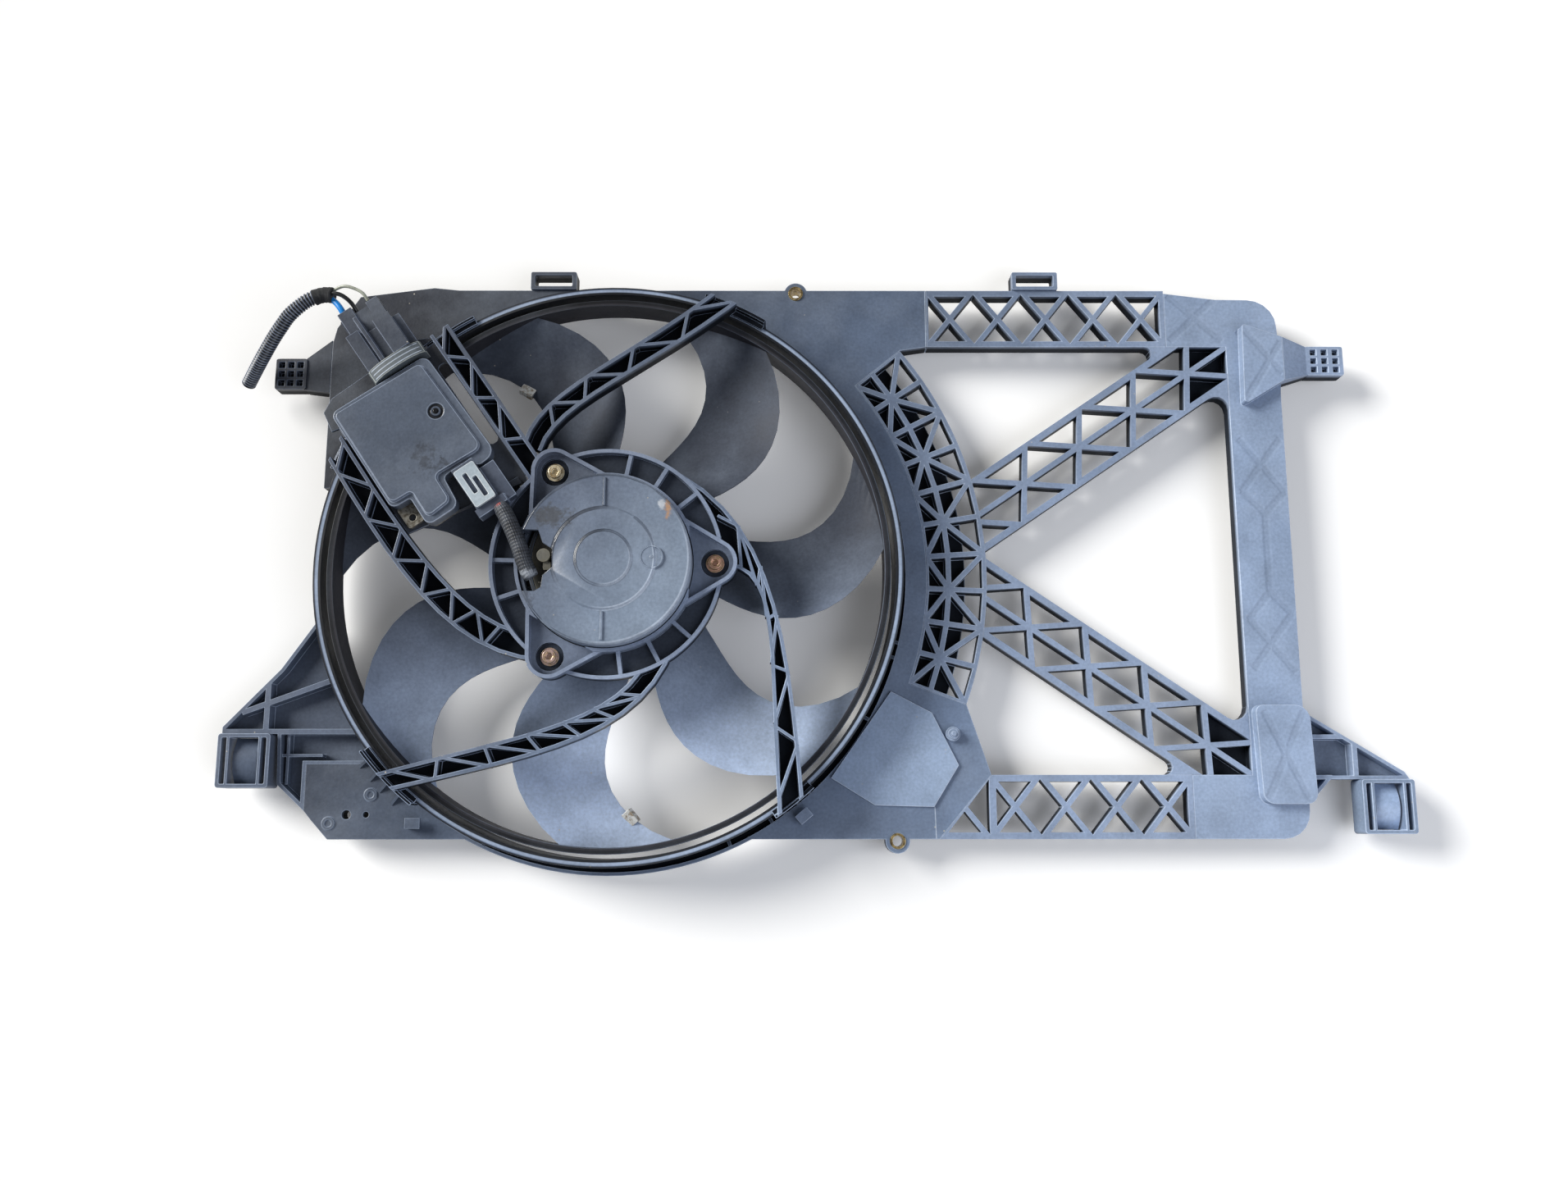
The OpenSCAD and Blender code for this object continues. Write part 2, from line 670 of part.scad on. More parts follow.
// The first edge has the strut on its left, seen from above and from the carrier
module channel_strut(e, cells, first = [0.16, 0.16]) {
    a = curve(e[0], 12);
    b = curve(e[1], 12);
    zig = [for (k = [0:2 * cells]) bezier(e[k % 2], first[k % 2] + (0.96 - first[k % 2]) * k / (2 * cells))];
    difference() {
        intersection() {
            union() {
                prism(channel_outline(e, 12), strut_z, strut_z + skin_t);
                prism(concat(a, backwards(beside(a, strut_wall))), strut_z, strut_top);
                prism(backwards(concat(b, backwards(beside(b, -strut_wall)))), strut_z, strut_top);
                for (k = [0:2 * cells - 1]) {
                    u = unit(zig[k + 1] - zig[k]) * 1.6;
                    prism(bar(zig[k] + u, zig[k + 1] - u, 2), strut_z + 1, strut_top);
                }
                intersection() {
                    prism(inset(channel_outline(e, 12), 0.8), ring_top, strut_z + 1);
                    tube(ring_in + 0.6, tab_r + tab_wall, ring_top - 1, strut_z + 2);
                }
            }
            disc(tab_r + tab_wall / 2, 0, 100);
        }
        carrier_core(strut_z - 1, strut_top + 20);
    }
}
// The curved tab that hooks a strut's end over the ring's lip
module strut_tab(a, half, rise = 5) {
    sector(tab_r, tab_r + tab_wall, ring_top - 10, strut_z + rise, a - half, a + half);
    sector(lip_r - 3, tab_r + 0.2, ring_top, ring_top + 2, a - half, a + half);
}
module strut_upper_left() {
    color(plastic)
    union() {
        channel_strut(upper_left_edges, 3);
        strut_tab(124.4, 5.5, 2);
    }
}
module strut_upper_right() {
    color(plastic)
    difference() {
        union() {
            channel_strut(upper_right_edges, 4);
            strut_tab(65, 6.5);
        }
        channel_plan(upper_left_edges, strut_z - 1, strut_top + 1);
    }
}
module strut_right() {
    color(plastic)
    union() {
        channel_strut(right_edges, 5, [0.1, 0.25]);
        strut_tab(-51.5, 4.5);
        prism(bar([71.5, 31], [84, 24.5], 2), strut_z + 1, strut_top);
    }
}
module strut_lower() {
    color(plastic)
    union() {
        channel_strut(lower_edges, 6);
        strut_tab(225, 7);
    }
}
module strut_left() {
    color(plastic)
    union() {
        channel_strut(left_edges, 6);
        strut_tab(155.5, 5, 2);
    }
}

// Motor carrier: a ribbed ring round the motor with three screw ears
ear_angles = [0, 120, 240];
ear_wall = 2.4;
// An ear's outline: a round end with straight sides that run to the inner rim
ear_outline =
    let(
        n = 14,
        p = polar(carrier_in + 2.2, 29),
        c = [ear_pitch_r, 0],
        slope = atan2(c[1] - p[1], c[0] - p[0]) + asin(ear_r / norm(c - p))
    )
    concat([[p[0], -p[1]]], [for (i = [0:n]) c + polar(ear_r, (slope + 90) * (2 * i / n - 1))], [p]);
module carrier_core(z0, z1) {
    disc(carrier_r, z0, z1);
    for (a = ear_angles) rotate([0, 0, a]) prism(ear_outline, z0, z1);
}
module at_ears() {
    for (a = ear_angles) rotate([0, 0, a]) translate([ear_pitch_r, 0, 0]) children();
}
module motor_carrier() {
    color(plastic)
    difference() {
        union() {
            tube(carrier_r - strut_wall, carrier_r, strut_z, strut_top);
            disc(carrier_r - strut_wall / 2, carrier_z - 1, carrier_z + skin_t);
            disc(carrier_in + 2.2, carrier_z, strut_top + 4);
            for (a = ear_angles, b = [38.5, 58.5, 78.5])
                rotate([0, 0, a + b])
                    translate([carrier_in + 1, -1.3, carrier_z + 1])
                        cube([carrier_r - carrier_in - 2, 2.6, strut_top - carrier_z - 2.2]);
            for (a = ear_angles) rotate([0, 0, a]) prism(ear_outline, strut_z + 1, strut_top + 3);
        }
        disc(carrier_r - strut_wall, strut_z - 1, carrier_z);
        disc(carrier_in, strut_z - 2, 200);
        for (a = ear_angles)
            rotate([0, 0, a]) {
                prism(inset(ear_outline, ear_wall), carrier_z + skin_t + 2.4, 200);
                prism(inset(ear_outline, ear_wall), strut_z - 1, carrier_z);
            }
        at_ears() {
            disc(9.2, carrier_z + skin_t, 200);
            disc(motor_screw_d / 2 + 0.3, 0, 200);
        }
    }
}
// Screws that pull the motor's flange up against the carrier
module motor_screws() {
    head_z = carrier_z + skin_t;
    color("#c9a86a")
    for (a = ear_angles)
        rotate([0, 0, a]) translate([ear_pitch_r, 0, 0])
            difference() {
                union() {
                    disc(motor_screw_d / 2, flange_z - 2, head_z + 1);
                    disc(motor_screw_d + 1, head_z, head_z + 1.6);
                    disc(motor_screw_d * 0.86, head_z, head_z + 5);
                }
                translate([0, 0, head_z + 2.6]) cylinder(r = motor_screw_d * 0.5, h = 4, $fn = 6);
            }
}

// Controller: tray on the struts, base plate with its ear, lid with a raised face
module at_box() {
    translate([box_x, box_y, 0]) rotate([0, 0, box_turn]) children();
}
tray_outline = [
    [-137, 18], [-54, 56], [-58, 66], [-120, 156], [-132, 154], [-186, 113], [-191, 103], [-181, 82]
];
module controller_tray() {
    color(dark)
    difference() {
        union() {
            prism(tray_outline, strut_z, box_z);
            intersection() {
                at_box() prism([[-60, -65.5], [40, -67], [40, -62], [3, -60], [-60, -50]], strut_z, box_z + 3);
                prism(tray_outline, strut_z, strut_top);
            }
        }
        channel_plan(upper_left_edges, strut_z - 1, strut_top + 1);
        channel_plan(left_edges, strut_z - 1, strut_top + 1);
        carrier_core(strut_z - 1, strut_top + 20);
        sector(tab_r - 0.3, tab_r + tab_wall + 0.3, strut_z - 1, box_z + 1, 118, 130.4);
        sector(tab_r - 0.3, tab_r + tab_wall + 0.3, strut_z - 1, box_z + 1, 150.2, 162);
        at_box() translate([40.5, 0, 0]) prism(box_outline(7.4, 66, 3), strut_z - 1, box_z + 1);
    }
}
module controller_base() {
    color("#8d8a80")
    at_box()
        difference() {
            union() {
                prism(rounded(shrink(lid_corners, 0.8)), box_z, lid_z);
                translate([-31, -43.5, 0]) prism(box_outline(12, 16, 2), box_z, lid_z - 1);
            }
            translate([-31, -46, 0]) disc(2.2, box_z - 1, lid_z + 1);
        }
}
lid_corners = [
    [-box_w / 2 - 3, -37.5, 5], [-24.5, -38, 2], [-25, -60, 5], [-1, -60, 6], [1, -38.5, 3], [14, -37.5, 2], [25, -45, 4],
    [box_w / 2 + 2.5, -44, 8], [box_w / 2 + 0.5, box_l / 2 - 1.5, 6], [-box_w / 2 - 2, box_l / 2, 5]
];
face_corners = [
    [-box_w / 2 - 1, -34.5, 4], [-21, -35, 3], [-21.5, -55.5, 3.5], [-4, -54, 4], [-3.5, -34.5, 4],
    [box_w / 2 - 3, -36, 5], [box_w / 2 - 5.5, box_l / 2 - 5, 4], [-box_w / 2, box_l / 2 - 3, 3]
];
lid_boss = [20.5, 1.2];
module controller_lid() {
    color("#566072")
    at_box()
        difference() {
            union() {
                prism(rounded(lid_corners), lid_z, lid_z + lid_h - 2.4);
                prism(rounded(face_corners), lid_z, lid_z + lid_h);
            }
            prism(rounded(shrink(lid_corners, 2.2)), lid_z - 1, lid_z + lid_h - 4.8);
            translate(lid_boss) tube(3.2, 5.2, lid_z + lid_h - 1.2, lid_z + lid_h + 1);
            translate(lid_boss) disc(1.5, lid_z - 1, lid_z + lid_h + 1);
        }
}
module lid_screw() {
    color("#2f333b")
    at_box() translate(lid_boss) disc(1.5, lid_z + 0.4, lid_z + lid_h + 0.6);
}

// Main plug: a stepped housing that pushes into the controller's long side
// Positions in the controller's own frame: x along its plug side, y away from it
plug_x = 17.5;
plug_w = 38;
plug_y = box_l / 2 + 10;
plug_z = box_z + 0.8;
seal_y = box_l / 2 + 1;
seal_top = 62;
module plug_seal() {
    h = seal_top - plug_z;
    low = h - 7;
    w = (plug_w + 2) / 2;
    arch = [for (i = [0:10]) [w * cos(i * 18), low + (h - low) * sin(i * 18)]];
    color("#9aa08f")
    at_box()
        translate([plug_x, plug_y - eps, plug_z])
            rotate([90, 0, 0])
                linear_extrude(plug_y - seal_y)
                    polygon(concat([[-w, 0], [w, 0]], arch));
}
module plug_part(x0, x1, y0, y1, top) {
    prism([[x0, y0], [x1, y0], [x1, y1], [x0, y1]], plug_z, top);
}
module main_plug() {
    color(dark)
    at_box()
        union() {
            plug_part(-1.5, 36.5, plug_y, plug_y + 25, plug_z + 10);
            plug_part(-1.5, 8, plug_y, plug_y + 29, plug_z + 12.5);
            plug_part(1, 31, plug_y, plug_y + 42, plug_z + 8);
            plug_part(2, 12.4, plug_y, plug_y + 47, plug_z + 9.5);
            plug_part(9.4, 12.4, plug_y, plug_y + 37, plug_z + 14);
            plug_part(19.3, 31.2, plug_y, plug_y + 27, plug_z + 16.5);
            plug_part(22.3, 30.6, plug_y, plug_y + 41, plug_z + 15);
        }
}

// Motor plug: the latched connector between the controller and the motor's lead
motor_plug_z = lid_z + lid_h + eps;
module motor_plug() {
    color("#23272d")
    at_box()
        union() {
            prism([[7, -72], [23, -72], [23, -40], [7, -40]], motor_plug_z, motor_plug_z + 4);
            prism([[5.5, -77], [27, -77], [27, -71.4], [5.5, -71.4]], strut_top + 0.5, motor_plug_z + 4.5);
            prism([[22, -76], [33.5, -76], [33.5, -48], [22, -48]], strut_top + 0.5, motor_plug_z + 1);
        }
}
module plug_latch() {
    z = motor_plug_z + 4;
    color("#c9ced2")
    at_box()
        difference() {
            translate([15, -57, 0]) prism(box_outline(15, 28, 1.5), z, z + 3);
            translate([13, -55, 0]) prism(box_outline(3, 15, 0.8), z - 1, z + 4);
            translate([17.5, -60, 0]) prism(box_outline(3, 15, 0.8), z - 1, z + 4);
        }
}

// A tube of straight rings swept along a list of points
module swept_tube(path, r, sides) {
    n = len(path);
    dirs = [for (i = [0:n - 1]) unit(path[min(i + 1, n - 1)] - path[max(i - 1, 0)])];
    rings = [for (i = [0:n - 1])
        let(
            u = unit(cross(dirs[i], [0.13, 0.21, 0.97])),
            v = cross(dirs[i], u)
        )
        for (k = [0:sides - 1]) path[i] + r * (u * cos(360 * k / sides) + v * sin(360 * k / sides))];
    walls = [for (i = [0:n - 2], k = [0:sides - 1])
        let(k2 = (k + 1) % sides)
        [i * sides + k, i * sides + k2, (i + 1) * sides + k2, (i + 1) * sides + k]];
    ends = [[for (k = [sides - 1:-1:0]) k], [for (k = [0:sides - 1]) (n - 1) * sides + k]];
    polyhedron(points = rings, faces = concat(walls, ends), convexity = 4);
}
// Motor lead: from the plug's end down into the motor cap's cut-out
lead_route = [
    [-67.4, 35.1, 64.8], [-64.5, 31, 65.1], [-61, 24.5, 65.3], [-58, 18, 65.2], [-55.2, 11.5, 65],
    [-52.8, 5, 64.7], [-50.6, -1.5, 64.2], [-48.2, -7, 63.6], [-45.5, -11.5, 63]
];
module motor_lead() {
    color("#15171a") swept_tube(lead_route, lead_d / 2, 12);
}
// Wires from the plug's back into the conduit
wire_routes = [
    [[-179.5, 169.5, 50], [-181.8, 173.5, 50.5], [-185.5, 178, 50], [-190.2, 181.3, 49.2]],
    [[-162, 177, 55], [-167, 183, 56.5], [-178.5, 187.5, 55], [-189.8, 185.4, 50.2]],
    [[-170.3, 170.7, 49], [-174.5, 177, 53], [-181.5, 182, 54], [-190.2, 183.4, 53]]
];
wire_d = 3;
module harness_wires() {
    color("#1e7ad0")
    for (w = wire_routes) swept_tube(w, wire_d / 2, 8);
}
// Conduit: free from the wires' end, bending over and down beside the frame
conduit_route = [
    [-192, 183.5, 50], [-198, 182, 50.5], [-204, 179.5, 50.3], [-209.5, 176, 49.3], [-214.5, 172.5, 47.8],
    [-219, 169, 45.6], [-223, 165, 43], [-227, 161.3, 40], [-231, 157.5, 36.8], [-234.8, 153.8, 33.4],
    [-238.6, 150.2, 29.8], [-242.4, 146.8, 26], [-246, 143.8, 22], [-249.6, 141, 17.8], [-253.2, 138.2, 13.5],
    [-256.8, 135.4, 9.2]
];
module cable_conduit() {
    color("#191b1e") swept_tube(conduit_route, conduit_d / 2, 12);
}

// Motor: can, flange, cap and what they hold
module motor_can() {
    front_boss = 13;
    color("#3b3f45")
    rotate_extrude()
        polygon([
            [11, can_z], [can_r - 4, can_z], [can_r, can_z + 4], [can_r, can_top], [can_r - 2.4, can_top],
            [can_r - 2.4, can_z + 4.5], [can_r - 5, can_z + 2.4], [front_boss, can_z + 2.4],
            [front_boss, can_z + 7], [11, can_z + 7]
        ]);
}
module motor_flange() {
    color("#5a5e63")
    difference() {
        union() {
            disc(carrier_in + 6, flange_z, carrier_z);
            for (a = ear_angles)
                rotate([0, 0, a]) {
                    translate([ear_pitch_r, 0, 0]) disc(8, flange_z, carrier_z);
                    translate([carrier_in, -8, flange_z]) cube([ear_pitch_r - carrier_in, 16, carrier_z - flange_z]);
                }
        }
        disc(can_r, flange_z - 1, carrier_z + 1);
        for (a = ear_angles) rotate([0, 0, a]) translate([ear_pitch_r, 0, 0]) disc(motor_screw_d / 2, flange_z - 1, carrier_z + 1);
    }
}
cap_cut = [[-70, 19], [-41.5, 18], [-38.7, 10], [-32.4, 5.9], [-32.1, -5.7], [-38.1, -11], [-39, -18.5], [-43, -21], [-70, -21]];
step_r = 32.2;
crown_r = 17.2;
module motor_cap() {
    color("#5a6474")
    difference() {
        union() {
            rotate_extrude()
                polygon([
                    [0, cap_top - 4.4], [cap_r - 2.4, cap_top - 4.4], [cap_r - 2.4, cap_z], [cap_r, cap_z],
                    [cap_r, cap_top - 3.2], [cap_r - 1.2, cap_top - 2], [step_r + 1.2, cap_top - 2],
                    [step_r, cap_top - 1], [crown_r + 1.2, cap_top - 1], [crown_r, cap_top], [0, cap_top]
                ]);
            for (a = [90, 270])
                rotate([0, 0, a]) translate([step_r + 2, -0.9, cap_top - 2.5]) cube([18, 1.8, 1.6]);
            translate([30.7, 0.6, 0]) tube(6.6, 7.3, cap_top - 2.2, cap_top - 0.7);
            translate([30.7, 0.6, cap_top - 2.2]) cylinder(r1 = 1.6, r2 = 0.8, h = 1.6, $fn = 24);
        }
        prism(cap_cut, can_top + 0.5, cap_top + 1);
    }
}
card_z = can_top;
module brush_card() {
    color("#6b4a2f")
    difference() {
        disc(can_r - 2.6, card_z - 3, card_z);
        disc(13.5, card_z - 4, card_z + 1);
    }
}
module brushes() {
    color("#33302e")
    for (a = [45, 135, 225, 315])
        rotate([0, 0, a]) translate([12.4, -3.5, card_z - 9]) cube([14, 7, 6]);
}
module lead_choke() {
    color("#8a7f6a")
    union() {
        translate([-38.3, 2.5, card_z]) cylinder(r = 4.4, h = 9);
        translate([-36.2, -4, card_z]) prism(box_outline(5, 5.6, 1), 0, 7);
    }
}
module magnets() {
    color("#4d4f52")
    for (k = [0:3]) sector(40.6, can_r - 2.4, can_z + 7, can_z + 34, k * 90 + 8, k * 90 + 82);
}
module front_bearing() {
    color("silver") tube(shaft_r + 0.04, 11, can_z + 0.5, can_z + 7);
}
module rear_bearing() {
    color("silver") tube(shaft_r + 0.04, 10, card_z + 2, cap_top - 4.4);
}
shaft_z = 1;
module motor_shaft() {
    color("silver")
    rotate_extrude()
        polygon([
            [0, shaft_z], [shaft_r - 0.6, shaft_z], [shaft_r, shaft_z + 0.6], [shaft_r, card_z + 6.4],
            [shaft_r - 0.6, card_z + 7], [0, card_z + 7]
        ]);
}
armature_z = can_z + 10;
armature_top = armature_z + 20;
module armature() {
    slots = 12;
    color("#9c6b3c")
    difference() {
        disc(39.8, armature_z, armature_top);
        disc(shaft_r, armature_z - 1, armature_top + 1);
        for (k = [0:slots - 1])
            rotate([0, 0, k * 360 / slots]) translate([31, -1.5, armature_z - 1]) cube([12, 3, 22]);
    }
}
module commutator() {
    color("#b8742f") tube(shaft_r, 12, armature_top, card_z - 1);
}

// Fan wheel: hub cup, forward-swept blades and the band that joins their tips, one moulding
// The blade's leading edge is low and its trailing edge high, so the air goes to the engine
stations = 13;
chords = 8;
function lead_angle(r) = 11.3 + 0.0042 * pow(r - 121, 2);
function trail_angle(r) = -17.5 + 0.0033 * pow(r - 100, 2);
function blade_half_t(s) = blade_t / 2 * (0.35 + 0.65 * sin(180 * min(0.95, max(0.06, s))));
function blade_span(r) = (r - hub_r) / (band_in - hub_r);
// s goes from 0 at the trailing edge to 1 at the leading edge
function blade_mid_z(r, s) =
    let(
        high = hub_top - 1.5 + (band_top - 3 - hub_top + 1.5) * blade_span(r),
        low = hub_z + 5 + (band_z + 1.8 - hub_z - 5) * blade_span(r)
    )
    high + (low - high) * s - 4 * sin(180 * s) * (0.4 + 0.6 * blade_span(r));
function blade_point(r, s, side) =
    let(a = trail_angle(r) + (lead_angle(r) - trail_angle(r)) * s)
    [r * cos(a), r * sin(a), blade_mid_z(r, s) + side * blade_half_t(s)];
module blade() {
    n = stations;
    m = chords;
    loop = 2 * (m + 1);
    pts = [for (i = [0:n])
        let(r = hub_r - 1.2 + (band_in + 1.2 - hub_r + 1.2) * i / n)
        each concat(
            [for (j = [0:m]) blade_point(r, j / m, 1)],
            [for (j = [m:-1:0]) blade_point(r, j / m, -1)]
        )];
    walls = [for (i = [0:n - 1], k = [0:loop - 1])
        let(
            k2 = (k + 1) % loop,
            a = i * loop + k,
            b = i * loop + k2,
            c = (i + 1) * loop + k2,
            d = (i + 1) * loop + k
        )
        each [[a, b, c], [a, c, d]]];
    caps = [for (i = [0, n], j = [0:m - 1])
        let(
            a = i * loop + j,
            b = i * loop + j + 1,
            c = i * loop + loop - 2 - j,
            d = i * loop + loop - 1 - j
        )
        each i == 0 ? [[a, c, b], [a, d, c]] : [[a, b, c], [a, c, d]]];
    polyhedron(points = pts, faces = concat(walls, caps), convexity = 6);
}
module fan_hub() {
    hub_ribs = 8;
    boss_r = 13;
    color("#3c3f47")
    union() {
        rotate_extrude()
            polygon([
                [shaft_r, hub_z], [hub_r - 6, hub_z], [hub_r, hub_z + 6], [hub_r, hub_top],
                [hub_r - hub_wall, hub_top], [hub_r - hub_wall, hub_z + 7], [hub_r - 7, hub_z + 3],
                [boss_r, hub_z + 3], [boss_r, can_z - 2], [shaft_r, can_z - 2]
            ]);
        for (k = [0:hub_ribs - 1])
            rotate([0, 0, k * 360 / hub_ribs])
                translate([boss_r - 0.5, -1, hub_z + 2]) cube([hub_r - boss_r - 6, 2, can_z - hub_z - 5]);
    }
}
module fan_blades() {
    color("#3c3f47")
    intersection() {
        union() for (k = [0:blade_count - 1]) rotate([0, 0, k * 360 / blade_count]) blade();
        tube(hub_r, band_in, -1, 60);
    }
}
module fan_band() {
    color("#3c3f47")
    rotate_extrude()
        polygon([
            [band_in, band_z], [band_out, band_z], [band_out, band_top - 3], [band_r, band_top - 1.6],
            [band_r, band_top], [band_in, band_top]
        ]);
}
module hub_nut() {
    color("#8a8d90")
    difference() {
        cylinder_nut();
        disc(shaft_r, 0, hub_z + 1);
    }
}
module cylinder_nut() {
    translate([0, 0, hub_z - 2]) cylinder(r = 9, h = 2, $fn = 6);
}
// Steel clips pushed on a blade's edge to balance the wheel
clip_spots = [[95, 141.5], [278, 162]];
module balance_clips() {
    color("#c4c8cc")
    for (c = clip_spots) {
        k = floor((c[0] + 20) * blade_count / 360);
        r = c[1];
        a = lead_angle(r);
        rotate([0, 0, k * 360 / blade_count])
            difference() {
                rotate([0, 0, a])
                    translate([r, 0, blade_mid_z(r, 0.96)])
                        rotate([20, 0, 35])
                            translate([-5, -9, -2.6]) cube([10, 12, 5.2]);
                blade();
            }
    }
}

frame_plate();
fan_lattice();
top_truss();
bottom_truss();
upper_brace();
lower_brace();
side_beam();
left_bracket();
right_bracket();
left_peg();
right_peg();
left_foot();
right_foot();
foot_springs();
top_clips();
cover_patch();
cable_hooks();
ear_sleeves();
fan_ring();
strut_upper_left();
strut_upper_right();
strut_right();
strut_lower();
strut_left();
motor_carrier();
controller_tray();
controller_base();
controller_lid();
lid_screw();
main_plug();
plug_seal();
motor_plug();
plug_latch();
motor_lead();
harness_wires();
cable_conduit();
motor_can();
motor_flange();
motor_cap();
brush_card();
brushes();
lead_choke();
magnets();
front_bearing();
rear_bearing();
motor_screws();
motor_shaft();
armature();
commutator();
fan_hub();
fan_blades();
fan_band();
hub_nut();
balance_clips();
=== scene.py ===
import math

import bmesh
import bpy
from mathutils import Matrix, Vector, geometry, noise


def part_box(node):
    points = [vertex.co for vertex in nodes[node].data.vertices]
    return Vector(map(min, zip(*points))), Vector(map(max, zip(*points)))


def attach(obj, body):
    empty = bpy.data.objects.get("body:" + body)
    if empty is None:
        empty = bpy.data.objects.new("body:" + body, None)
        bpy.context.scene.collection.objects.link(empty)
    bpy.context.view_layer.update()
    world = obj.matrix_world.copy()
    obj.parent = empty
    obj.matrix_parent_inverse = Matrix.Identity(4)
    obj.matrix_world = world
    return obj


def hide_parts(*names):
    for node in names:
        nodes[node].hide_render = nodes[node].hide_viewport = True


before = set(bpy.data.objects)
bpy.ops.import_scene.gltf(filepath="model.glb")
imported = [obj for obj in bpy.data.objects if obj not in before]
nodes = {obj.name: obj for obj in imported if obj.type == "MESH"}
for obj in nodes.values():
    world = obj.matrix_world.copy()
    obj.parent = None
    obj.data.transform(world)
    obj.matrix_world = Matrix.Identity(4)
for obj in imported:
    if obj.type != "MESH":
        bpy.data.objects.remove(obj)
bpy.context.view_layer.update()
MM = 0.001


# Camera
# A phone held almost straight above the fan as it lies on its radiator side, 0.87 m up.
# Its lens and place are worked out from the frame's corners, for an image 1912 px wide.
image_w = 1912
focal_px = 1585.5
film_w = 36
camera_at = Vector((0.1121, -0.1643, 0.8740))
camera_azimuth = math.radians(-0.93)
camera_elevation = math.radians(79.91)
camera_roll = math.radians(0.92)


def camera_axes(azimuth, elevation, roll):
    """The camera's right, up and back directions, turned about its own line of sight."""
    back = Vector((
        math.sin(azimuth) * math.cos(elevation),
        -math.cos(azimuth) * math.cos(elevation),
        math.sin(elevation),
    ))
    right = Vector((math.cos(azimuth), math.sin(azimuth), 0))
    up = back.cross(right)
    return right * math.cos(roll) + up * math.sin(roll), up * math.cos(roll) - right * math.sin(roll), back


camera = bpy.data.objects.new("camera", bpy.data.cameras.new("camera"))
bpy.context.scene.collection.objects.link(camera)
camera.data.sensor_width = film_w
camera.data.lens = focal_px * film_w / image_w
camera.matrix_world = Matrix.Translation(camera_at) @ Matrix(
    camera_axes(camera_azimuth, camera_elevation, camera_roll)
).transposed().to_4x4()
bpy.context.scene.camera = camera
bpy.context.scene.view_settings.view_transform = "Standard"


# Floor and studio light
# Soft daylight from the left throws a wide shadow to the right, a panel at the lower right sheens on the
# plastic's edges, and a pale sky lies all round. The shadow stands off from the fan in the photograph, so the
# white board is a little way under it.
floor_half = 12
floor_z = -0.012
board_colour = "#e9e8e7"
white = "#ffffff"
board_glow = 0.09
sky_colour = "#f1f2f4"
sky_strength = 0.19
backdrop_colour = "#fcfcfc"
daylight_colour = "#fffdf8"
daylight_strength = 4.2
daylight_angle = math.radians(30)
daylight_at = (-1.3, 0.65, 0.85)
panel_colour = "#ecf1fc"
panel_watts = 16
panel_side = 1.5
panel_at = (1.15, -0.75, 1.35)
fan_middle = Vector((0.1, 0, 0))


def linear(hex_colour):
    """An sRGB hex colour as linear red, green, blue and alpha."""
    parts = [int(hex_colour[i:i + 2], 16) / 255 for i in (1, 3, 5)]
    return [c / 12.92 if c <= 0.04045 else ((c + 0.055) / 1.055) ** 2.4 for c in parts] + [1]


def add(tree, kind, sockets=None, **settings):
    """Adds a node with its settings; each socket gets a value, or a link from another node's socket."""
    made = tree.nodes.new(kind)
    for name, value in settings.items():
        setattr(made, name, value)
    for name, value in (sockets or {}).items():
        if isinstance(value, bpy.types.NodeSocket):
            tree.links.new(value, made.inputs[name])
        else:
            made.inputs[name].default_value = value
    return made


def blank_material(name):
    """A new material and its node tree, with nothing in it."""
    made = bpy.data.materials.new(name)
    made.use_nodes = True
    made.node_tree.nodes.clear()
    return made, made.node_tree


def white_table():
    """Matt white board; what the camera sees of it is lifted to white, and its shadows stay."""
    made, tree = blank_material("white_table")
    board = add(tree, "ShaderNodeBsdfDiffuse", {"Color": linear(board_colour)})
    seen = add(tree, "ShaderNodeBsdfDiffuse", {"Color": linear(white)})
    lift = add(tree, "ShaderNodeEmission", {"Color": linear(white), "Strength": board_glow})
    path = add(tree, "ShaderNodeLightPath")
    shown = add(tree, "ShaderNodeMath", {0: path.outputs["Is Camera Ray"], 1: path.outputs["Is Glossy Ray"]},
                operation="MAXIMUM")
    lifted = add(tree, "ShaderNodeAddShader", {0: seen.outputs[0], 1: lift.outputs[0]})
    pick = add(tree, "ShaderNodeMixShader", {0: shown.outputs[0], 1: board.outputs[0], 2: lifted.outputs[0]})
    add(tree, "ShaderNodeOutputMaterial", {"Surface": pick.outputs[0]})
    return made


floor_mesh = bmesh.new()
bmesh.ops.create_grid(floor_mesh, x_segments=1, y_segments=1, size=floor_half)
bmesh.ops.translate(floor_mesh, verts=floor_mesh.verts, vec=(0, 0, floor_z))
floor_data = bpy.data.meshes.new("floor")
floor_mesh.to_mesh(floor_data)
floor_mesh.free()
floor = bpy.data.objects.new("floor", floor_data)
bpy.context.scene.collection.objects.link(floor)
floor.data.materials.append(white_table())


def aimed(name, lamp, place, colour):
    """Hangs a lamp at a place, faces it to the middle of the fan and keeps it out of the picture."""
    lamp.color = linear(colour)[:3]
    holder = bpy.data.objects.new(name, lamp)
    bpy.context.scene.collection.objects.link(holder)
    holder.location = place
    holder.rotation_mode = "QUATERNION"
    holder.rotation_quaternion = (fan_middle - Vector(place)).to_track_quat("-Z", "Y")
    holder.visible_camera = False


daylight = bpy.data.lights.new("left_daylight", "SUN")
daylight.energy = daylight_strength
daylight.angle = daylight_angle
aimed("left_daylight", daylight, daylight_at, daylight_colour)
panel = bpy.data.lights.new("right_panel", "AREA")
panel.shape = "SQUARE"
panel.size = panel_side
panel.energy = panel_watts
aimed("right_panel", panel, panel_at, panel_colour)

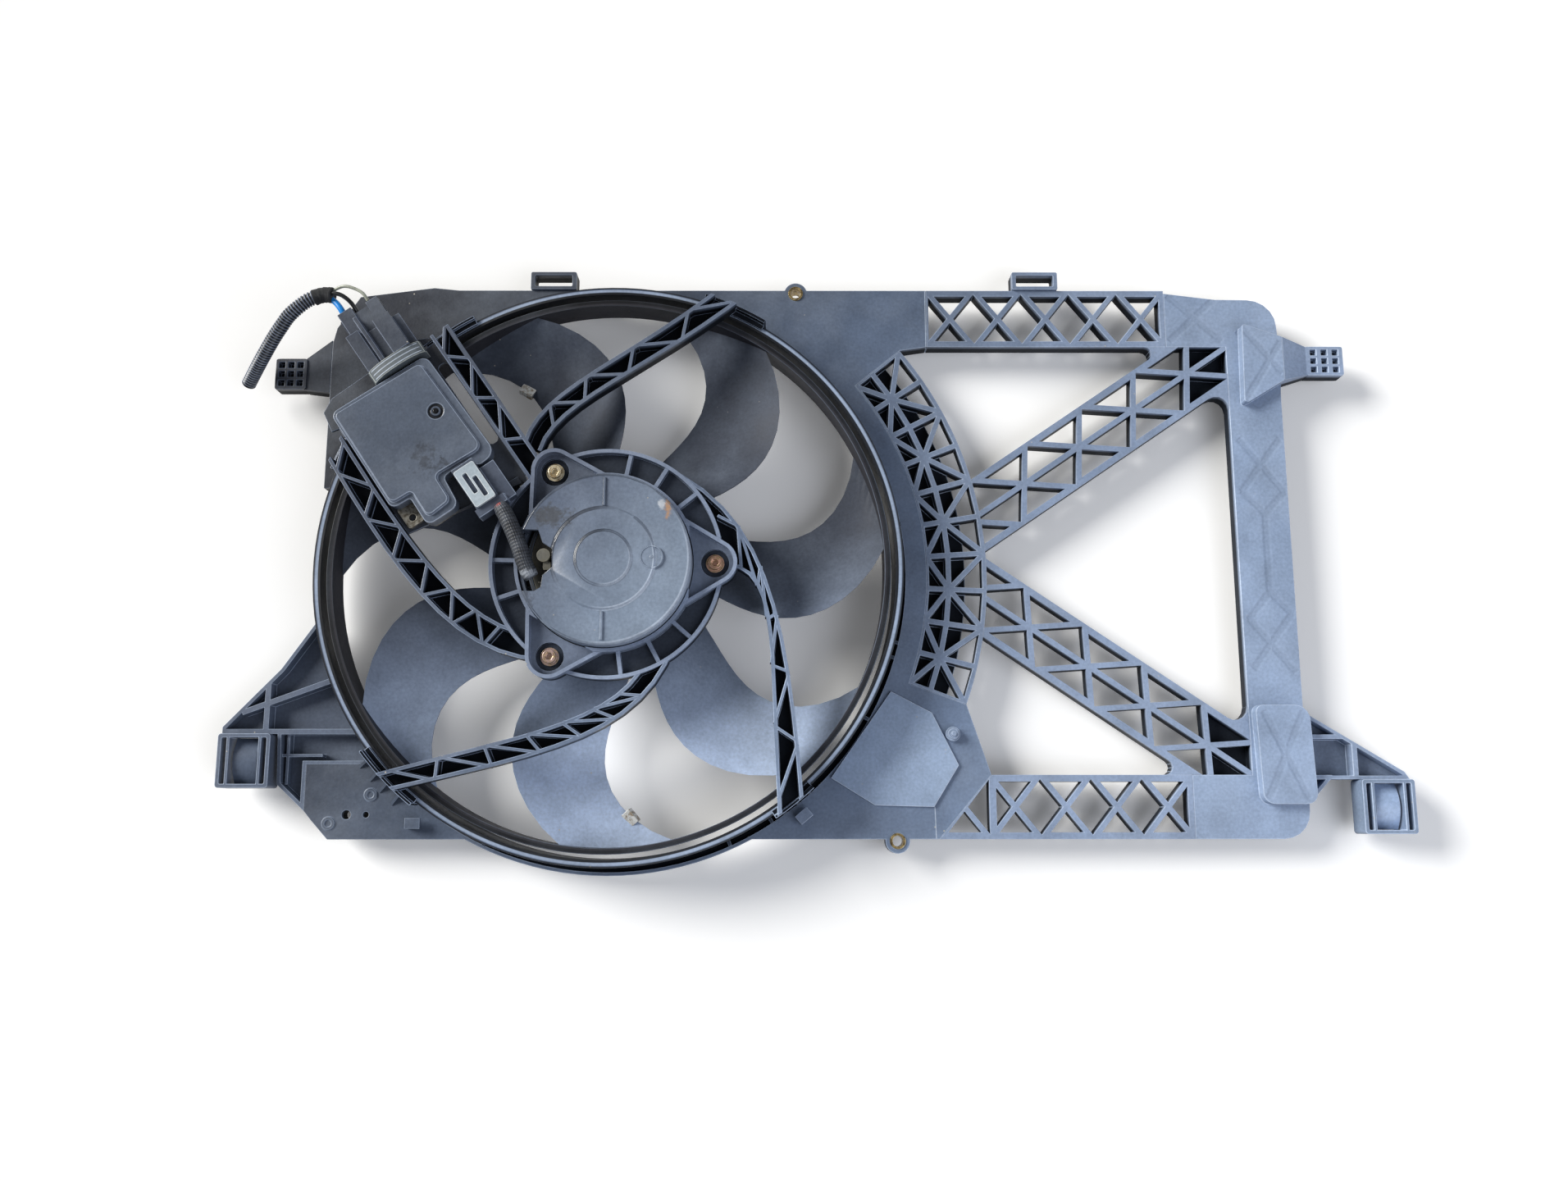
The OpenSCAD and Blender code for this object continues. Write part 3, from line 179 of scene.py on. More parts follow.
# The sky lights the fan only faintly; where the camera looks past the board, it is as white as the board
sky = bpy.data.worlds.new("sky")
bpy.context.scene.world = sky
sky.use_nodes = True
sky.node_tree.nodes.clear()
sky_glow = add(sky.node_tree, "ShaderNodeBackground", {"Color": linear(sky_colour), "Strength": sky_strength})
backdrop = add(sky.node_tree, "ShaderNodeBackground", {"Color": linear(backdrop_colour), "Strength": 1.0})
straight = add(sky.node_tree, "ShaderNodeLightPath").outputs["Is Camera Ray"]
sky_mix = add(sky.node_tree, "ShaderNodeMixShader", {
    0: straight, 1: sky_glow.outputs[0], 2: backdrop.outputs[0],
})
add(sky.node_tree, "ShaderNodeOutputWorld", {"Surface": sky_mix.outputs[0]})


# Frame moulding
# One large injection moulding in black glass-filled nylon: corner skins, trusses, braces, side beam, feet.
# It is near black by the controller and bluish grey to the lower right, partly road dust and sun and partly a
# painted sheen. Its worn edges are pale with dust, and its deep pockets are painted black, as shade.
frame_dark = "#2a2e38"
frame_light = "#8798b4"
frame_edge_dark = "#545d6e"
frame_edge_light = "#a9b9d1"
# Painted shade for deep pockets and for the dark rings beside the fan ring's lip
painted_shade_black = "#07080b"
dust_grey = "#98a3b3"
grime = "#1d2026"
grit_pale = "#b9b3a6"
scratch_pale = "#c9d5e6"
frame_rise = (7, 11.8)
sink_width = 3.4
scratch_width = 0.45


def mix_colour(tree, share, first, second, blend="MIX"):
    """Mixes two colours; each may be a hex value or another node's socket."""
    made = add(tree, "ShaderNodeMix", data_type="RGBA", blend_type=blend)
    # Inputs 6 and 7 and output 2 are the node's colour sockets, which share their names with the others
    for socket, value in ((made.inputs[0], share), (made.inputs[6], first), (made.inputs[7], second)):
        if isinstance(value, bpy.types.NodeSocket):
            tree.links.new(value, socket)
        else:
            socket.default_value = linear(value) if isinstance(value, str) else value
    return made.outputs[2]


def between(tree, value, low, high, to_low=0.0, to_high=1.0, steps="LINEAR"):
    """A value that runs from low to high, brought to run from to_low to to_high."""
    made = add(tree, "ShaderNodeMapRange", {
        "Value": value, "From Min": low, "From Max": high, "To Min": to_low, "To Max": to_high,
    }, interpolation_type=steps)
    return made.outputs[0]


def sum_of(tree, first, second, how="ADD"):
    """The sum of two values, or what else how says."""
    return add(tree, "ShaderNodeMath", {0: first, 1: second}, operation=how).outputs[0]


def product_of(tree, first, second):
    return sum_of(tree, first, second, "MULTIPLY")


def vector_of(tree, first, second, how):
    return add(tree, "ShaderNodeVectorMath", {0: first, 1: second}, operation=how).outputs[0]


def dot_of(tree, first, second):
    return add(tree, "ShaderNodeVectorMath", {0: first, 1: second}, operation="DOT_PRODUCT").outputs["Value"]


def length_of(tree, vector):
    return add(tree, "ShaderNodeVectorMath", {0: vector}, operation="LENGTH").outputs["Value"]


def grain_of(tree, where, size, detail=3, rough=0.55):
    """Soft noise whose grains are about size metres across."""
    return add(tree, "ShaderNodeTexNoise", {
        "Vector": where, "Scale": 0.5 / size, "Detail": detail, "Roughness": rough,
    }).outputs["Fac"]


def place_of(tree):
    """The place on the part, in metres."""
    return add(tree, "ShaderNodeTexCoord").outputs["Object"]


def bump_of(tree, height, strength, distance, over=None, sunk=False):
    """The surface's direction over a relief of distance metres; over is the direction under the relief."""
    sockets = {"Height": height, "Strength": strength, "Distance": distance}
    if over is not None:
        sockets["Normal"] = over
    return add(tree, "ShaderNodeBump", sockets, invert=sunk).outputs[0]


def surfaced(made, tree, colour, rough, normal=None, shine=0.5, metal=0.0):
    """Ends a material in one glossy surface; rough and shine may be values or sockets."""
    sockets = {"Base Color": colour, "Roughness": rough, "Specular IOR Level": shine, "Metallic": metal}
    if normal is not None:
        sockets["Normal"] = normal
    skin = add(tree, "ShaderNodeBsdfPrincipled", sockets)
    add(tree, "ShaderNodeOutputMaterial", {"Surface": skin.outputs[0]})
    return made


def blot(tree, where, middle, size, ragged=0.7):
    """1 in a ragged oval about a point in millimetres, 0 outside it."""
    off = vector_of(tree, where, Vector(middle) * MM, "SUBTRACT")
    far = length_of(tree, vector_of(tree, off, [1 / (s * MM) for s in size], "MULTIPLY"))
    uneven = between(tree, grain_of(tree, where, 0.003, 5, 0.7), 0.3, 0.7, -ragged, ragged)
    return between(tree, sum_of(tree, far, uneven), 0.5, 1.2, 1, 0, "SMOOTHSTEP")


def with_blots(tree, where, colour, blots):
    """Lays blots of (middle, size, tint, depth) over a colour."""
    for middle, size, tint, depth in blots:
        colour = mix_colour(tree, product_of(tree, blot(tree, where, middle, size), depth), colour, tint)
    return colour


def band_at(tree, where, centre, low, high, way):
    """1 between two radii about an upright line through a point of the plan, all in millimetres.

    With a way, only the side of the ring that lies along it.
    """
    blur = 0.2
    off = vector_of(tree, where, Vector((*centre, 0)) * MM, "SUBTRACT")
    far = length_of(tree, vector_of(tree, off, (1, 1, 0), "MULTIPLY"))
    begun = between(tree, far, (low - blur) * MM, (low + blur) * MM)
    ended = between(tree, far, (high - blur) * MM, (high + blur) * MM, 1, 0)
    found = product_of(tree, begun, ended)
    if way:
        side = dot_of(tree, off, (*way, 0))
        turned = between(tree, side, 0.3 * low * MM, 0.9 * low * MM, steps="SMOOTHSTEP")
        found = product_of(tree, found, turned)
    return found


def with_bands(tree, where, colour, bands):
    """Lays rings of (centre, inner, outer, tint, depth, way) over a colour."""
    for centre, inner, outer, tint, depth, way in bands:
        ring = band_at(tree, where, centre, inner, outer, way)
        colour = mix_colour(tree, product_of(tree, ring, depth), colour, tint)
    return colour


def stroke(tree, where, start, end, width):
    """1 on a straight line between two points of the plan in millimetres, 0 beside it."""
    a, b = Vector((*start, 0)) * MM, Vector((*end, 0)) * MM
    way = (b - a).normalized()
    off = vector_of(tree, where, a, "SUBTRACT")
    beside = dot_of(tree, off, (-way.y, way.x, 0))
    ahead = dot_of(tree, off, way)
    far = add(tree, "ShaderNodeMath", {0: beside}, operation="ABSOLUTE").outputs[0]
    on = between(tree, far, width * MM * 0.3, width * MM, 1, 0, "SMOOTHSTEP")
    begun = between(tree, ahead, -MM, 0)
    ended = between(tree, ahead, (b - a).length, (b - a).length + MM, 1, 0)
    return product_of(tree, product_of(tree, on, begun), ended)


def all_strokes(tree, where, lines, width):
    """1 on any of the lines, each a (start, end)."""
    found = stroke(tree, where, *lines[0], width)
    for start, end in lines[1:]:
        found = sum_of(tree, found, stroke(tree, where, start, end, width), "MAXIMUM")
    return found


def moulded_nylon(name, dark, light, fade=(-0.26, 0.40), roughness=0.5, dust=0.35, low=(0.9, -0.6),
                  rise=None, sinks=(), scratches=(), blots=(), bands=(), shine=0.5):
    """Glass-filled nylon, injection moulded: satin, fine-grained, with a film of dust that lies in clouds.

    The colour goes from dark to light over fade, along low. Below rise its pockets are painted black, as
    shade.
    Bands are rings of another tint about an upright line.
    """
    made, tree = blank_material(name)
    where = place_of(tree)
    share = between(tree, dot_of(tree, where, (*low, 0)), *fade, steps="SMOOTHSTEP")
    body = mix_colour(tree, share, dark, light)
    cloud = between(tree, grain_of(tree, where, 0.035, 6, 0.62), 0.42, 0.68)
    dusty = mix_colour(tree, product_of(tree, cloud, dust), body, mix_colour(tree, 0.55, body, dust_grey))
    stain = between(tree, grain_of(tree, where, 0.012, 4, 0.7), 0.60, 0.80, 0, 0.35)
    colour = mix_colour(tree, stain, dusty, mix_colour(tree, 0.5, dusty, grime))
    # Sparse pale grit, one speck in every few cells of 7 mm
    cells = add(tree, "ShaderNodeTexVoronoi", {"Vector": where, "Scale": 1 / 0.007, "Randomness": 1.0})
    near = between(tree, cells.outputs["Distance"], 0.055, 0.085, 1, 0)
    few = between(tree, grain_of(tree, where, 0.02, 2), 0.57, 0.63)
    colour = mix_colour(tree, product_of(tree, near, few), colour, grit_pale)
    if sinks:
        # The sunk lines are painted a little darker as well, as shade in them
        sunk = all_strokes(tree, where, sinks, sink_width)
        shade = mix_colour(tree, 0.6, colour, frame_dark)
        colour = mix_colour(tree, product_of(tree, sunk, 0.14), colour, shade)
    if scratches:
        scratched = all_strokes(tree, where, scratches, scratch_width)
        colour = mix_colour(tree, product_of(tree, scratched, 0.7), colour, scratch_pale)
    colour = with_bands(tree, where, with_blots(tree, where, colour, blots), bands)
    # Handling and weather leave it mottled at the size of a thumb and of a grain of sand
    thumb = between(tree, grain_of(tree, where, 0.016, 4, 0.6), 0.3, 0.7, 0.84, 1.18)
    sand = between(tree, grain_of(tree, where, 0.0010, 3, 0.6), 0.3, 0.7, 0.90, 1.10)
    colour = mix_colour(tree, 1.0, colour, product_of(tree, thumb, sand), "MULTIPLY")
    if rise:
        # Below rise the pockets are painted near black, as shade, and their sheen is taken down
        height = add(tree, "ShaderNodeSeparateXYZ", {0: where}).outputs["Z"]
        risen = between(tree, height, rise[0] * MM, rise[1] * MM, steps="SMOOTHSTEP")
        colour = mix_colour(tree, risen, mix_colour(tree, 0.95, colour, painted_shade_black), colour)
        shine = between(tree, risen, 0, 1, 0.05, shine)
    rough = between(tree, cloud, 0, 1, roughness - 0.08, roughness + 0.12)
    # The mould's spark-eroded grain is 0.1 mm; it is drawn at 0.9 mm so that it shows
    fine = bump_of(tree, grain_of(tree, where, 0.0009, 2), 0.35, 0.0002)
    normal = bump_of(tree, grain_of(tree, where, 0.009, 2), 0.3, 0.0007, over=fine)
    if sinks:
        normal = bump_of(tree, sunk, 0.5, 0.0007, over=normal, sunk=True)
    return surfaced(made, tree, colour, rough, normal, shine)


# Rounded copies of the nodes
edge_radius = 0.45 * MM
fine_radius = 0.3 * MM
weld = 0.01 * MM
corner_turn = math.radians(28)
smooth_turn = math.radians(38)
folded_area = 0.2 * MM * MM
# Where four rounds with fewer edges haven't cured every corner, the radius comes down
radius_shares = (1, 1, 1, 1, 0.6, 0.3)
tight_reach = 3


def finished(name, made, *finishes):
    """Turns a bmesh into a linked object at the origin, with its finishes."""
    data = bpy.data.meshes.new(name)
    made.to_mesh(data)
    made.free()
    piece = bpy.data.objects.new(name, data)
    bpy.context.scene.collection.objects.link(piece)
    for finish in finishes:
        data.materials.append(finish)
    return piece


def welded(name):
    """A node's mesh, with its triangles joined at their corners."""
    made = bmesh.new()
    made.from_mesh(nodes[name].data)
    bmesh.ops.remove_doubles(made, verts=made.verts, dist=weld)
    return made


def crossings(made):
    """The points where a face's outline runs back or across itself, where corners were rounded too far."""
    made.normal_update()
    turned = {}
    for loops in made.calc_loop_triangles():
        a, b, c = (loop.vert.co for loop in loops)
        across = (b - a).cross(c - a)
        if across.dot(loops[0].face.normal) < 0:
            turned[loops[0].face] = turned.get(loops[0].face, 0) + across.length / 2
    found = []
    for face, area in turned.items():
        if area < folded_area:
            continue
        side = face.edges[0].verts[1].co - face.edges[0].verts[0].co
        side = (side - face.normal * side.dot(face.normal)).normalized()
        up = face.normal.cross(side)
        corners = [loop.vert.co for loop in face.loops]
        flat = [Vector((p.dot(side), p.dot(up))) for p in corners]
        count = len(flat)
        for i in range(count):
            into, out = flat[i] - flat[i - 1], flat[(i + 1) % count] - flat[i]
            if into.dot(out) < -0.9 * into.length * out.length:
                found.append(corners[i])
            for k in range(i + 2, count - (i == 0)):
                met = geometry.intersect_line_line_2d(flat[i], flat[i + 1], flat[k], flat[(k + 1) % count])
                if met:
                    found.append(corners[i] + side * (met - flat[i]).x + up * (met - flat[i]).y)
    return found


def rounded(name, radius):
    """A node's mesh with its sharp edges rounded, and the second finish on the rounds.

    An edge beside which there is no room to round stays sharp.
    """
    made, tight = None, []
    for share in radius_shares:
        if made is not None:
            made.free()
        made = welded(name)
        bmesh.ops.dissolve_limit(made, angle_limit=math.radians(1), verts=made.verts, edges=made.edges)
        width = radius * share
        corners = {e for e in made.edges if len(e.link_faces) == 2 and e.calc_face_angle() > corner_turn}
        # A face with hardly more area than the rounds along its rim would take keeps its edges
        for face in made.faces:
            rim = sum(e.calc_length() for e in face.edges if e in corners)
            if 2 * rim > face.calc_perimeter() and face.calc_area() < 1.1 * width * face.calc_perimeter():
                corners -= set(face.edges)
        room = [e for e in made.edges if e in corners
                and all((v.co - spot).length > tight_reach * radius for v in e.verts for spot in tight)]
        for face in bmesh.ops.bevel(
            made, geom=room, offset=width, offset_type="OFFSET", affect="EDGES", segments=2, profile=0.5,
            clamp_overlap=False, material=-1,
        )["faces"]:
            face.material_index = 1
        more = crossings(made)
        if not more:
            break
        tight += more
    return made


def softened(name, finish, edge, body="frame", radius=edge_radius, flat=True):
    """Stands a copy of a CAD node in its place, with its edges rounded where it is made of flat faces."""
    made = rounded(name, radius) if flat else welded(name)
    for face in made.faces:
        face.smooth = True
    for line in made.edges:
        line.smooth = len(line.link_faces) == 2 and line.calc_face_angle() < smooth_turn
    piece = finished(name + "_skin", made, finish, edge)
    if flat:
        even = piece.modifiers.new("even_shading", "WEIGHTED_NORMAL")
        even.keep_sharp = True
    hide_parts(name)
    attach(piece, body)


# The moulding's own pieces
frame_nylon = moulded_nylon("frame_nylon", frame_dark, frame_light, rise=frame_rise)
frame_edges = moulded_nylon("frame_edges", frame_edge_dark, frame_edge_light, roughness=0.38, dust=0.5)
for piece_name in ("fan_lattice", "top_truss", "bottom_truss", "upper_brace", "lower_brace", "top_clips",
                   "left_peg", "right_peg"):
    softened(piece_name, frame_nylon, frame_edges)
bracket_nylon = moulded_nylon("bracket_nylon", frame_dark, frame_light, rise=(-7, 11))
softened("right_bracket", bracket_nylon, frame_edges)
foot_nylon = moulded_nylon("foot_nylon", "#5b6578", "#74859e", rise=(-14, 11))
foot_edges = moulded_nylon("foot_edges", "#97a4b8", frame_edge_light, roughness=0.38, dust=0.5)
for piece_name in ("left_bracket", "left_foot", "right_foot"):
    softened(piece_name, foot_nylon, foot_edges)

# Corner skins: light strokes where the mould's parts met
plate_strokes = (
    ((213.5, 160), (213.5, 203)), ((213.5, 160), (203.7, 151)), ((213.3, -155), (213.9, -175.5)),
    ((213, 92), (213, 62)),
)
plate_nylon = moulded_nylon("plate_nylon", frame_dark, "#7385a1", rise=frame_rise, scratches=plate_strokes)
softened("frame_plate", plate_nylon, frame_edges)
softened("cable_hooks", frame_nylon, frame_edges)
patch_nylon = moulded_nylon("patch_nylon", "#8093b0", "#9cb0cd", fade=(0.1, 0.32), roughness=0.46)
patch_edges = moulded_nylon("patch_edges", "#a9b9d0", "#c2d0e4", roughness=0.4)
softened("cover_patch", patch_nylon, patch_edges)

# Side beam: the skin has sunk a little over the ribs that cross under it, and the sunk lines are painted a
# little darker, as shade
beam_sinks = (
    ((428, 95), (457, 57)), ((456, 95), (428, 58)), ((428, 58), (442.5, 42.4)), ((457, 57), (442.5, 42.4)),
    ((442.5, 42.4), (442.3, -12.1)), ((442.3, -12.1), (427.4, -30.5)), ((442.3, -12.1), (456.2, -26.8)),
    ((427.4, -30.5), (456, -66)), ((456.2, -26.8), (428.4, -63.8)), ((432, 121), (458, 162)),
    ((432, 173), (458, 140)), ((384, 166), (420, 200)), ((384, 199), (420, 166)), ((430, -149), (456, -93)),
    ((456, -149), (430, -93)),
)
beam_nylon = moulded_nylon("beam_nylon", frame_dark, "#8b9db9", rise=frame_rise, sinks=beam_sinks)
softened("side_beam", beam_nylon, frame_edges)

# Springs of the feet: bare tongues of the same nylon, bright where they rub
spring_nylon = moulded_nylon("spring_nylon", "#4f5868", "#93a7c6", roughness=0.36, dust=0.2)
softened("foot_springs", spring_nylon, frame_edges)


# Ear sleeves
# Two short tubes of yellow zinc-plated steel pressed into the frame's ears, which take the screws' clamping.
def plated_steel(name, plain, worn, roughness=0.32, halves=(), metal=0.85):
    """Zinc-plated steel: bright metal with a passivated tint that has gone dull and brown in places.

    Each of the halves is (way, low, high, tint): another tint from low to high metres along the way.
    """
    made, tree = blank_material(name)
    where = place_of(tree)
    patches = between(tree, grain_of(tree, where, 0.0016, 5, 0.65), 0.45, 0.62)
    colour = mix_colour(tree, patches, plain, worn)
    for way, low, high, tint in halves:
        spots = between(tree, grain_of(tree, where, 0.0012, 5, 0.7), 0.42, 0.60)
        share = between(tree, dot_of(tree, where, way), low, high)
        colour = mix_colour(tree, share, colour, mix_colour(tree, spots, tint, worn))
    rough = between(tree, grain_of(tree, where, 0.0022, 4, 0.6), 0.35, 0.7, roughness - 0.08, roughness + 0.2)
    scuffs = bump_of(tree, grain_of(tree, where, 0.0007, 3), 0.14, 0.0002)
    return surfaced(made, tree, colour, rough, scuffs, metal=metal)


sleeve_zinc = plated_steel("sleeve_zinc", "#b79f6c", "#5b4a34")
sleeve_rim = plated_steel("sleeve_rim", "#d8c79c", "#8a744c")
softened("ear_sleeves", sleeve_zinc, sleeve_rim, radius=fine_radius)


# Fan ring, struts and motor carrier
# The same nylon: the ring that the fan turns in, five channel struts hooked over its lip and the ribbed
# ring that holds the motor. Wall tops are dusty, and the channels between them are painted black, as shade.
ring_dark = "#4f5a70"
ring_light = "#71819a"
ring_fade = (-0.20, 0.26)
strut_rise = (48, 53.95)
fan_axis = (0, 0)
# The lip is worn pale along its middle, and the black rings beside that are painted shade
lip_marks = (
    (fan_axis, 187, 189.6, painted_shade_black, 0.95, None),
    (fan_axis, 189.7, 191.4, "#a3b2c9", 0.65, None),
    (fan_axis, 191.9, 193.4, painted_shade_black, 0.9, None),
)
ring_nylon = moulded_nylon("ring_nylon", ring_dark, ring_light, fade=ring_fade, roughness=0.44, dust=0.25,
                           rise=(12, 38), bands=lip_marks)
# The rounds of the lip take its two black rings of painted shade only
ring_edges = moulded_nylon("ring_edges", "#4a5262", "#8c9cb5", fade=ring_fade, roughness=0.34, dust=0.4,
                           rise=(8, 20), bands=lip_marks[::2])
softened("fan_ring", ring_nylon, ring_edges)
strut_nylon = moulded_nylon("strut_nylon", "#4a5262", "#7e8faa", fade=ring_fade, roughness=0.42, dust=0.3,
                            rise=strut_rise)
strut_edges = moulded_nylon("strut_edges", "#76839a", "#a3b4ce", fade=ring_fade, roughness=0.34, dust=0.4)
for piece_name in ("strut_upper_left", "strut_upper_right", "strut_right", "strut_lower", "strut_left"):
    softened(piece_name, strut_nylon, strut_edges)
carrier_nylon = moulded_nylon("carrier_nylon", "#687183", "#8e9cb5", fade=(-0.09, 0.09), roughness=0.42,
                              dust=0.3, rise=(47, 53.6))
softened("motor_carrier", carrier_nylon, strut_edges)
tray_nylon = moulded_nylon("tray_nylon", "#2a2e37", "#3c4350", fade=(-0.20, 0.1), roughness=0.46, dust=0.3)
softened("controller_tray", tray_nylon, strut_edges)


# Fan wheel
# Hub, seven blades and band in one moulding of mineral-filled nylon. The dull faces are flecked with grit and
# painted paler low down, a painted highlight; the band that joins the tips is black, with brown dust baked on
# its inner edge.
wheel_nylon = moulded_nylon("wheel_nylon", "#353b48", "#afc0dc", fade=(-0.01, 0.14), roughness=0.60,
                            dust=0.3, low=(0.1, -1.0), shine=0.2)
wheel_edges = moulded_nylon("wheel_edges", "#4b5362", "#8a99b2", fade=(-0.05, 0.13), roughness=0.45,
                            low=(0.1, -1.0))
band_black = moulded_nylon("band_black", "#15161a", "#1c1e23", fade=(-0.20, 0.2), roughness=0.6, dust=0.1,
                           bands=((fan_axis, 178, 182.2, "#34343a", 0.8, None),), shine=0.2)
band_edges = moulded_nylon("band_edges", "#24262c", "#4d5665", fade=(-0.20, 0.2), roughness=0.5, dust=0.2)
softened("fan_hub", wheel_nylon, wheel_edges, body="rotor")
softened("fan_blades", wheel_nylon, wheel_edges, body="rotor", flat=False)
softened("fan_band", band_black, band_edges, body="rotor")
hub_zinc = plated_steel("hub_zinc", "#9a9da0", "#6b655c")
softened("hub_nut", hub_zinc, hub_zinc, body="rotor", radius=fine_radius)

# Balance clips: bright tinned spring steel pushed on the blades' edges, spotted with rust
clip_tin = plated_steel("clip_tin", "#dcdedd", "#8b7a63", roughness=0.3, metal=0.35)
clip_rim = plated_steel("clip_rim", "#f0f0ec", "#c3b9a6", roughness=0.25, metal=0.35)
softened("balance_clips", clip_tin, clip_rim, body="rotor", radius=fine_radius)


# Motor
# A brushed motor: pressed steel can, bare steel flange and a drawn rear cap in worn black paint. The cap has
# a ragged stain at its upper left and a rust streak at its upper right. Steel, copper and ferrite inside.
step_r = 32.2
crown_r = 17.2
edge_r = 53.2
cap_stain = ((-33.5, 27.5, 68.5), (13, 7, 9), "#4c4d4f", 0.75)
cap_rust = ((40.5, 31.5, 67), (2.6, 8, 7), "#b98f6a", 0.85)
cap_bare = ((36.5, 35.5, 67), (2.4, 4, 7), "#c8ccd2", 0.7)
cap_rim_grime = ((-49, -18, 68), (7, 20, 6), "#3f434c", 0.7)
lower_right = (0.8, -0.6)
upper_left = (-0.8, 0.6)
# The three drawn steps have painted highlights on their lower right and painted shade on their upper left
cap_step_light_and_shade = (
    (fan_axis, step_r - 0.7, step_r + 1.6, "#b9c5d6", 0.75, lower_right),
    (fan_axis, step_r - 0.7, step_r + 1.9, "#262a33", 0.8, upper_left),
    (fan_axis, crown_r - 0.6, crown_r + 1.3, "#b3bfd0", 0.65, lower_right),
    (fan_axis, crown_r - 0.6, crown_r + 1.5, "#2b3039", 0.75, upper_left),
    (fan_axis, edge_r, edge_r + 2.8, "#b9c5d6", 0.6, lower_right),
    (fan_axis, edge_r, edge_r + 2.8, "#333945", 0.6, upper_left),
)
cap_paint = moulded_nylon("cap_paint", "#5f697b", "#8391a4", fade=(-0.06, 0.06), roughness=0.38, dust=0.3,
                          blots=(cap_stain, cap_rust, cap_bare, cap_rim_grime), bands=cap_step_light_and_shade)
# The rounds are painted lighter towards the lower right and darker to the upper left, a painted highlight and
# painted shade
cap_edges = moulded_nylon("cap_edges", "#4a5362", "#8e9aad", fade=(-0.02, 0.055), roughness=0.3,
                          blots=(cap_rust,), bands=cap_step_light_and_shade)
softened("motor_cap", cap_paint, cap_edges)
can_paint = moulded_nylon("can_paint", "#2b2e34", "#3d424b", roughness=0.45)
softened("motor_can", can_paint, cap_edges)
flange_steel = plated_steel("flange_steel", "#62666b", "#4a3a2e", roughness=0.45)
softened("motor_flange", flange_steel, flange_steel)
bearing_steel = plated_steel("bearing_steel", "#b9bcc0", "#8d9094", roughness=0.2)
softened("front_bearing", bearing_steel, bearing_steel, radius=fine_radius)
softened("rear_bearing", bearing_steel, bearing_steel, radius=fine_radius)
softened("motor_shaft", bearing_steel, bearing_steel, body="rotor", radius=fine_radius)
core_steel = plated_steel("core_steel", "#55585c", "#8a5a34", roughness=0.5)
softened("armature", core_steel, core_steel, body="rotor", radius=fine_radius)
bar_copper = plated_steel("bar_copper", "#b4703f", "#6e4529", roughness=0.3)
softened("commutator", bar_copper, bar_copper, body="rotor", radius=fine_radius)
ferrite = moulded_nylon("ferrite", "#3a3b3e", "#4a4c50", roughness=0.55, dust=0.15)
softened("magnets", ferrite, ferrite)
softened("brushes", ferrite, ferrite, radius=fine_radius)
card_resin = moulded_nylon("card_resin", "#3a382f", "#4a473b", roughness=0.5, dust=0.3)
softened("brush_card", card_resin, card_resin)
choke_varnish = moulded_nylon("choke_varnish", "#5a5648", "#726d5b", fade=(-0.05, 0.0), roughness=0.5,
                              dust=0.6)
choke_edges = moulded_nylon("choke_edges", "#6d6857", "#8b8570", fade=(-0.05, 0.0), roughness=0.45)
softened("lead_choke", choke_varnish, choke_edges)


# Motor screws
# Three flanged hexagon screws with socket recesses, yellow zinc at the upper left and copper-pink with rust
# at the right and lower left, which pull the motor's flange up against the carrier's ears.
at_right = ((1, 0, 0), 0.0, 0.01)
low_down = ((0, -1, 0), 0.0, 0.02)
screw_zinc = plated_steel("screw_zinc", "#d9c9a4", "#97805c", metal=0.5,
                          halves=((*low_down, "#c0a29c"), (*at_right, "#c99a88")))
screw_rim = plated_steel("screw_rim", "#efe6cf", "#c2a980", roughness=0.25, metal=0.5,
                         halves=((*low_down, "#cbb4ae"), (*at_right, "#d8ab94")))
softened("motor_screws", screw_zinc, screw_rim, radius=0.5 * MM)


# Controller
# A sealed box that switches the fan: a cast aluminium base, whose tongue shows beside the lid, under a
# moulded nylon lid with a raised face and one sunk screw.
lid_smudge = ((-118, 68, 66), (10, 13, 8), "#3b4049", 0.7)
lid_smudge_low = ((-107, 62, 66), (9, 6, 8), "#33373f", 0.7)
screw_low, screw_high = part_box("lid_screw")
screw_mid = tuple((screw_low + screw_high).xy / 2 / MM)
recess_shade_black = "#0b0c10"
# The screw, its recess and the boss round it, as rings about the screw; the screw's socket and the recess are
# painted black, as shade
boss_marks = (
    (screw_mid, 0, 2.2, recess_shade_black, 0.95, None),
    (screw_mid, 2.2, 3.2, "#4c5564", 0.8, None),
    (screw_mid, 3.2, 5.2, recess_shade_black, 0.95, None),
    (screw_mid, 5.3, 6.0, "#77818f", 0.5, None),
)
lid_nylon = moulded_nylon("lid_nylon", "#505968", "#5b6576", fade=(-0.26, 0.1), roughness=0.40, dust=0.3,
                          blots=(lid_smudge, lid_smudge_low), bands=boss_marks)
# The lid's rounds are painted lighter towards the lower right, a painted highlight
lid_edges = moulded_nylon("lid_edges", "#7f8a9d", "#b9c3d2", fade=(-0.20, 0.02), roughness=0.3,
                          bands=boss_marks)
softened("controller_lid", lid_nylon, lid_edges, radius=0.7 * MM)
lid_metal = moulded_nylon("lid_metal", "#1a1c21", "#2a2d34", roughness=0.3, dust=0.1, bands=boss_marks[:2])
softened("lid_screw", lid_metal, lid_metal, radius=fine_radius)
cast_alloy = plated_steel("cast_alloy", "#9a978e", "#5e584d", roughness=0.5)
alloy_edges = plated_steel("alloy_edges", "#c4c1b6", "#8b8478", roughness=0.42)
softened("controller_base", cast_alloy, alloy_edges)


